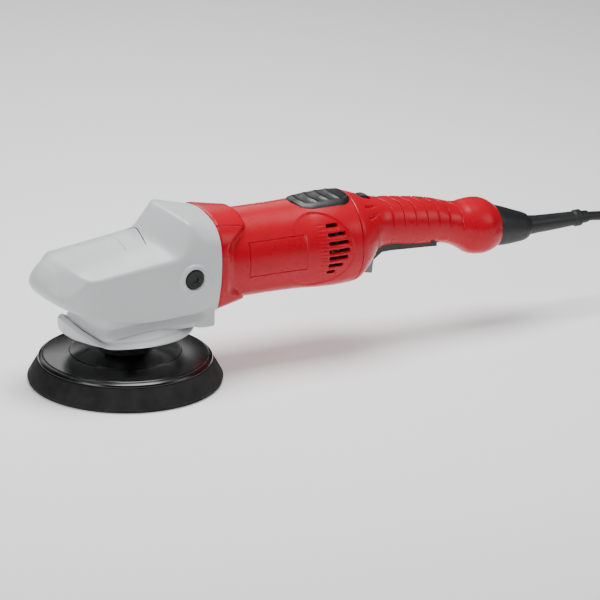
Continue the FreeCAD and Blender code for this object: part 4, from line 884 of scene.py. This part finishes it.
    def build_inlay(self) -> None:
        """Ridged black leaf on top, from its front tip to its blunt end."""
        outline = through(((135.0, 0.5), (137.0, 5.5), (140.5, 12.0), (147.0, 16.4), (158.0, 18.0),
                           (170.0, 18.4), (178.0, 17.6), (182.0, 13.5), (183.8, 8.0)), 1)
        xs = np.concatenate(([135.0], np.linspace(135.4, 183.8, 150)))
        across = np.linspace(-1.0, 1.0, 61)
        x, v = spread(xs, across)
        arc = outline(x) * v
        ends = ease(135.0, 138.0, x) * ease(184.2, 182.0, x)
        dome = (1 - np.abs(v) ** 5) * ends
        bow = x - 0.030 * arc**2
        ridges = sum(bell(bow, middle, 3.0) for middle in (141.0, 150.5, 160.0, 169.5))
        inner = (1 - ease(0.62, 0.72, np.abs(v)))
        height = 0.2 + 1.5 * dome + 0.75 * ridges * inner * ends - 0.5 * inner * dome
        radius = through(self.profile, 1)(x) + height - 0.6 * (1 - ends)
        turn = arc / radius
        points = np.stack((x, radius * np.sin(turn), self.axis + radius * np.cos(turn)), 1)
        leaf = new_piece("top_grip", points, grid_faces(len(xs), len(across), False))
        thicken(leaf, 1.6)
        finish_mesh(leaf)
        fit(leaf, "casing", "black_plastic", BLACK_NYLON, "top_inlay")


# ---------------------------------------------------------------- handle
@dataclass
class Grip:
    """Two handle shells with grip grooves, a dial window and the paddle's slot."""

    wall: float = 2.6
    stations: tuple[Point, ...] = (
        (184.3, 36.0, 88.5), (188.0, 35.0, 88.5), (192.0, 32.9, 89.1), (199.0, 28.2, 91.3),
        (206.0, 22.7, 94.9), (213.0, 20.0, 96.0), (221.0, 19.4, 95.9), (235.0, 19.2, 94.1),
        (250.0, 18.9, 92.2), (264.0, 17.7, 90.2), (275.0, 17.3, 87.1), (283.0, 18.7, 84.2),
        (290.0, 21.4, 82.2), (298.0, 22.6, 81.4), (305.0, 22.2, 80.9), (311.0, 20.0, 80.2),
        (316.0, 16.9, 79.5))
    grooves: tuple[float, ...] = (218.4, 228.8, 239.2, 249.4, 259.8, 270.0, 280.6)

    def radius(self, x: Array, lift: Array) -> Array:
        """Radius of the shell; lift is in degrees up from the side."""
        base = through(self.stations, 1)(x)
        for place in self.grooves:
            line = place - 7.5 * ease(50.0, 100.0, lift)
            fade = ease(-2.0, 12.0, lift) + 0.35 * ease(-30.0, -38.0, lift) * ease(-70.0, -55.0, lift)
            base = base - 1.0 * fade * ease(0.95, 0.0, np.abs(x - line))
        rows = bell(lift, 56.0, 4.5) + bell(lift, 38.0, 5.0)
        base = base - 1.5 * rows * ease(193.6, 194.4, x) * (1 - ease(199.0, 208.0, x))
        seam = ease(0.5, 0.0, 90.0 - np.abs(lift)) * 0.25
        start = ease(0.8, 0.0, x - self.stations[0][0]) * 0.45
        return base - seam - start

    def build(self) -> None:
        """Makes both shells and cuts the dial window and the paddle slot."""
        xs = np.linspace(self.stations[0][0], self.stations[-1][0], 300)
        lifts = np.linspace(-90.0, 90.0, 190)
        x, lift = spread(xs, lifts)
        radius = self.radius(x, lift)
        height = through(self.stations, 2)(x)
        turned = np.radians(lift)
        gap = 0.06
        for name, side in (("right", -1.0), ("left", 1.0)):
            y = side * (radius * np.cos(turned) + gap)
            points = np.stack((x, y, height + radius * np.sin(turned)), 1)
            shell = new_piece("grip_" + name, points, grid_faces(len(xs), len(lifts), False))
            thicken(shell, self.wall)
            slot = [(202.0, 40.0), (263.0, 40.0), (263.0, 84.0, 2), (202.0, 84.0, 2)]
            lever = [(196.5, 40.0), (203.0, 40.0), (203.0, 76.0), (196.5, 76.0)]
            dial = [(193.2, 104.0), (204.6, 104.0), (204.6, 130.0), (193.2, 130.0)]
            cutters = [prism("slot", slot, -10.4, 10.4, "y"), prism("slot", lever, -5.7, 5.7, "y"),
                       prism("slot", dial, -5.3, 5.3, "y")]
            carve(shell, cutters)
            finish_mesh(shell, 35.0)
            fit(shell, "casing", "red_plastic", RED_NYLON, "handle_shell_" + name)


@dataclass
class Controls:
    """Speed dial in the top of the grip."""

    dial: tuple[float, float] = (198.2, 112.2)

    def build(self) -> None:
        """Makes the notched dial wheel on its axle."""
        teeth = 24
        steps = teeth * 10
        angles = np.linspace(0, 2 * math.pi, steps, endpoint=False)
        wave = 0.5 + 0.5 * np.cos(angles * teeth)
        line = rounded([(1.95, -4.0), (8.2, -4.0, 0.4), (9.0, -3.2, 0.5), (9.0, 3.2, 0.5),
                        (8.2, 4.0, 0.4), (1.95, 4.0)])
        line.append(line[0])
        rows = []
        for radius, y in line:
            reach = radius - (0.55 * wave**2 if radius > 8.5 else 0.0)
            rows.append(np.stack((self.dial[0] + reach * np.cos(angles), np.full(steps, y),
                                  self.dial[1] + reach * np.sin(angles)), 1))
        wheel = new_piece("dial_wheel", np.concatenate(rows), grid_faces(len(line), steps, True))
        finish_mesh(wheel, 40.0)
        fit(wheel, "dial", "black_plastic", BLACK_NYLON, "speed_dial")


# ---------------------------------------------------------------- cord
@dataclass
class CordSet:
    """Rubber guard, free cord with its stored coil, and the plug."""

    exit_z: float = 74.8
    radius: float = 3.7
    route: tuple[Point, ...] = ((396.0, 0.0, 74.8), (430.0, 0.0, 74.8), (462.0, 0.0, 46.5),
                                (490.0, 0.0, 15.5), (528.0, 0.0, 3.8))
    tail: tuple[Point, ...] = ((482.0, -75.0, 25.9), (482.0, -51.7, 29.5), (493.8, -31.3, 34.0),
                               (514.2, -19.5, 36.8), (537.0, -19.5, 37.0))
    coil: tuple[float, float] = (530.0, -51.9)
    middle: float = 44.5
    rows: int = 3
    turns: float = 11.68
    per_turn: int = 16

    def coil_points(self) -> list[Point]:
        """Control points of the coil, row by row and layer on layer, clockwise from above."""
        across = 2 * self.radius
        spots = []
        steps = int(self.turns * self.per_turn)
        bulge = 1.0 / (0.5 + 0.5 * math.cos(math.pi / self.per_turn))
        for k in range(1, steps + 1):
            t = k / self.per_turn
            here, there = self.place_of(int(t)), self.place_of(int(t) + 1)
            move = float(ease(0.72, 1.0, np.array(t - int(t))))
            row = here[0] + (there[0] - here[0]) * move
            layer = here[1] + (there[1] - here[1]) * move
            reach = (self.middle + (1 - row) * across) * bulge
            angle = math.radians(90 - 360 * t)
            spots.append((self.coil[0] + reach * math.cos(angle), self.coil[1] + reach * math.sin(angle),
                          self.radius + layer * across))
        return spots

    def place_of(self, turn: int) -> tuple[int, int]:
        """Row from the outside, and layer from the floor, of one turn."""
        layer, step = divmod(turn, self.rows)
        row = step if layer % 2 == 0 else self.rows - 1 - step
        return row, min(layer, 3)

    def build_cord(self) -> bpy.types.Object:
        """Makes the whole cord as one smooth curve."""
        curve = bpy.data.curves.new("mains_cord", "CURVE")
        curve.dimensions = "3D"
        curve.bevel_depth = self.radius * MM
        curve.bevel_resolution = 6
        curve.resolution_u = 6
        curve.use_fill_caps = True
        spline = curve.splines.new("NURBS")
        spots = list(self.route) + self.coil_points() + list(self.tail)
        spline.points.add(len(spots) - 1)
        for point, spot in zip(spline.points, spots):
            point.co = (*(v * MM for v in spot), 1.0)
        spline.order_u = 3
        spline.use_endpoint_u = True
        cord = bpy.data.objects.new("mains_cord", curve)
        bpy.context.scene.collection.objects.link(cord)
        return cord

    def build_plug(self) -> list[bpy.types.Object]:
        """Makes the moulded plug and its two pins."""
        y0, z0 = -19.5, 37.0
        sizes = ((536.0, 4.4, 4.4), (538.0, 4.6, 4.6), (550.0, 6.4, 5.6), (555.0, 8.6, 6.5),
                 (561.0, 12.5, 6.9), (568.0, 16.2, 6.9), (574.0, 17.3, 6.9), (580.5, 17.4, 6.9),
                 (581.6, 16.8, 6.3), (582.0, 15.6, 5.4))
        xs = np.linspace(536.0, 582.0, 120)
        angles = np.linspace(0, 2 * math.pi, 96, endpoint=False)
        x, angle = spread(xs, angles)
        wide, tall = through(sizes, 1)(x), through(sizes, 2)(x)
        ribs = 0.45 * (0.5 + 0.5 * np.cos(2 * math.pi * (x - 538.0) / 2.4)) * (x > 538.5) * (x < 549.5)
        power = 2.0 + 2.2 * ease(548.0, 560.0, x)
        shape = (np.abs(np.cos(angle)) ** power + np.abs(np.sin(angle)) ** power) ** (-1 / power)
        points = np.stack((x, y0 + (wide - ribs) * shape * np.cos(angle),
                           z0 + (tall - ribs) * shape * np.sin(angle)), 1)
        count = len(angles)
        ends = [list(range(count)), [len(points) - count + k for k in range(count)]]
        plug = new_piece("plug_shell", points, grid_faces(len(xs), count, True) + ends)
        finish_mesh(plug, 40.0)
        pieces = [plug]
        fit(plug, "casing", "cord_rubber", CORD_RUBBER, "plug_body")
        for name, side in (("a", 1.0), ("b", -1.0)):
            pin = [(0.02, 574.0), (2.4, 574.0), (2.4, 599.4, 1.6), (1.0, 601.0, 0.6), (0.02, 601.0)]
            blade = lathe("plug_pin_" + name, pin, (0, y0 + 9.5 * side, z0), "x", 48)
            nodes = ["plug_pins"] if side > 0 else []
            fit(blade, "casing", "nickel", NICKEL, *nodes)
            pieces.append(blade)
        return pieces

    def build(self) -> None:
        cord = self.build_cord()
        pieces = self.build_plug()
        fit(cord, "casing", "cord_rubber", CORD_RUBBER, "cord", "cord_tail", "cord_coil")
        self.build_guard()

    def build_guard(self) -> None:
        """Makes the cone and the tapered sleeve round the cord."""
        cone_axis = through(((301.0, 79.5), (316.0, 79.5), (320.0, 78.5), (327.0, 77.2), (334.0, 76.0),
                             (340.5, 75.0), (345.0, 74.8), (402.0, 74.8)), 1)
        outline = rounded([(302.0, 13.0), (315.9, 13.0), (316.1, 16.4, 0.4), (320.0, 16.2, 3),
                           (327.0, 15.0, 8), (334.0, 13.4, 8), (341.5, 11.7, 2.5), (345.5, 10.0, 1.5),
                           (347.6, 7.9, 1.5), (356.0, 7.1, 9), (370.0, 6.6, 9), (385.0, 5.9, 3),
                           (388.6, 5.7, 0.6), (389.6, 6.7, 0.8), (394.6, 6.7, 0.8), (395.6, 5.2, 0.6),
                           (401.5, 4.8, 0.5), (402.0, 4.2, 0.3), (402.0, 3.75), (302.0, 3.75)], 6)
        angles = np.linspace(0, 2 * math.pi, 96, endpoint=False)
        rows = []
        outline.append(outline[0])
        for x, radius in outline:
            centre = float(cone_axis(np.array(x))) if radius > 3.8 else self.exit_z
            rows.append(np.stack((np.full(len(angles), x), radius * np.cos(angles),
                                  centre + radius * np.sin(angles)), 1))
        guard = new_piece("cord_sleeve", np.concatenate(rows), grid_faces(len(outline), len(angles), True))
        finish_mesh(guard, 30.0)
        fit(guard, "casing", "rubber", BLACK_RUBBER, "cord_guard")


# ---------------------------------------------------------------- carried over nodes
NODE_FINISHES: dict[Finish, tuple[str, ...]] = {
    GROUND_STEEL: ("pad_journal", "eccentric_spindle", "pad_bearing", "counterweight", "crown_gear",
                   "spindle_bearing", "upper_bearing", "bearing_retainer", "front_motor_bearing",
                   "rear_motor_bearing", "lock_pin", "armature_shaft", "pinion", "brush_springs",
                   "lever_pin"),
    BLACK_OXIDE: ("housing_screws", "retainer_screws", "handle_screws", "paddle_pin"),
    MOTOR_SHEET: ("field_core", "armature_core"),
    ENAMEL_WIRE: ("field_windings", "armature_windings", "commutator"),
    BLACK_NYLON: ("cooling_fan", "rear_bracket", "paddle", "switch_body", "cord_clamp"),
    BRASS: ("brush_holders",),
    CARBON: ("carbon_brushes",),
    GREY_NYLON: ("lock_lever",),
    LAMINATE: ("control_board",),
    CORD_RUBBER: ("cord_lead_in",),
}
SOFTENED: dict[str, float] = {"paddle": 0.8, "lock_lever": 0.6, "handle_screws": 0.15, "paddle_pin": 0.2}


def dress_nodes() -> None:
    """Gives every carried-over CAD node its finish and soft edges."""
    for finish, names in NODE_FINISHES.items():
        for name in names:
            WARDROBE.dress(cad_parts[name], finish)
    for name, width in SOFTENED.items():
        soften(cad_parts[name], width)


# ---------------------------------------------------------------- studio
@dataclass
class Studio:
    """Camera, pale floor and soft lights."""

    azimuth: float = -26.5
    elevation: float = 19.926
    roll: float = 0.975
    distance: float = 3500.0
    lens: float = 271.06
    target: Point = (147.812, 0.0, 40.682)
    light_aim: Point = (120.0, 0.0, 60.0)
    table_half: float = 4000.0
    table_top: float = -0.2
    air: float = 0.06
    lights: list[tuple[str, Point, float, float]] = field(default_factory=lambda: [
        ("top", (120.0, 60.0, 1000.0), 560.0, 15.0), ("left", (-1100.0, -420.0, 420.0), 500.0, 6.0),
        ("right", (1000.0, -700.0, 650.0), 500.0, 2.6), ("rim", (250.0, 900.0, 700.0), 700.0, 3.0)])

    def build(self) -> None:
        """Sets up the camera, the floor, the world and the lights."""
        self.build_camera()
        half, top = self.table_half, self.table_top
        corners = np.array([(-half, -half, top), (half, -half, top), (half, half, top), (-half, half, top)])
        floor = new_piece("studio_floor", corners, [[0, 1, 2, 3]])
        # evenly lit plastic: near white with no visible reflection
        paper = Finish("Lit white acrylic table", "#f4f4f4", 0.9, pitch=2.0, depth=0.01, mottle=0.004,
                       glow=0.3)
        WARDROBE.dress(floor, paper)
        world = bpy.data.worlds.new("studio_air")
        world.use_nodes = True
        sky = world.node_tree.nodes["Background"]
        sky.inputs["Color"].default_value = linear("#ffffff")
        sky.inputs["Strength"].default_value = self.air
        bpy.context.scene.world = world
        for name, spot, size, power in self.lights:
            self.add_light(name, spot, size, power)

    def build_camera(self) -> None:
        """Places the camera by its azimuth, elevation, roll and distance."""
        a, e, r = (math.radians(v) for v in (self.azimuth, self.elevation, self.roll))
        back = Vector((math.sin(a) * math.cos(e), -math.cos(a) * math.cos(e), math.sin(e)))
        level = Vector((math.cos(a), math.sin(a), 0.0))
        rise = back.cross(level)
        right = level * math.cos(r) + rise * math.sin(r)
        up = rise * math.cos(r) - level * math.sin(r)
        data = bpy.data.cameras.new("studio_camera")
        data.lens = self.lens
        data.sensor_width = 36.0
        data.clip_end = 30.0
        camera = bpy.data.objects.new("studio_camera", data)
        bpy.context.scene.collection.objects.link(camera)
        turn = Matrix((right, up, back)).transposed().to_4x4()
        camera.matrix_world = Matrix.Translation((Vector(self.target) + back * self.distance) * MM) @ turn
        bpy.context.scene.camera = camera

    def add_light(self, name: str, spot: Point, size: float, power: float) -> None:
        """Adds one square soft light aimed at the tool."""
        data = bpy.data.lights.new(name, "AREA")
        data.shape = "SQUARE"
        data.size = size * MM
        data.energy = power
        light = bpy.data.objects.new(name, data)
        bpy.context.scene.collection.objects.link(light)
        place = Vector(spot) * MM
        aim = Vector(self.light_aim) * MM - place
        light.matrix_world = Matrix.Translation(place) @ aim.to_track_quat("-Z", "Y").to_matrix().to_4x4()


def main() -> None:
    """Builds the sub-assemblies in order."""
    logging.basicConfig(level=logging.INFO, format="%(message)s")
    Studio().build()
    CordSet().build()
    HeadCover().build()
    GearCase().build()
    BackingPad().build()
    MotorHousing().build()
    Grip().build()
    Controls().build()
    dress_nodes()


if __name__ == "__main__":
    main()
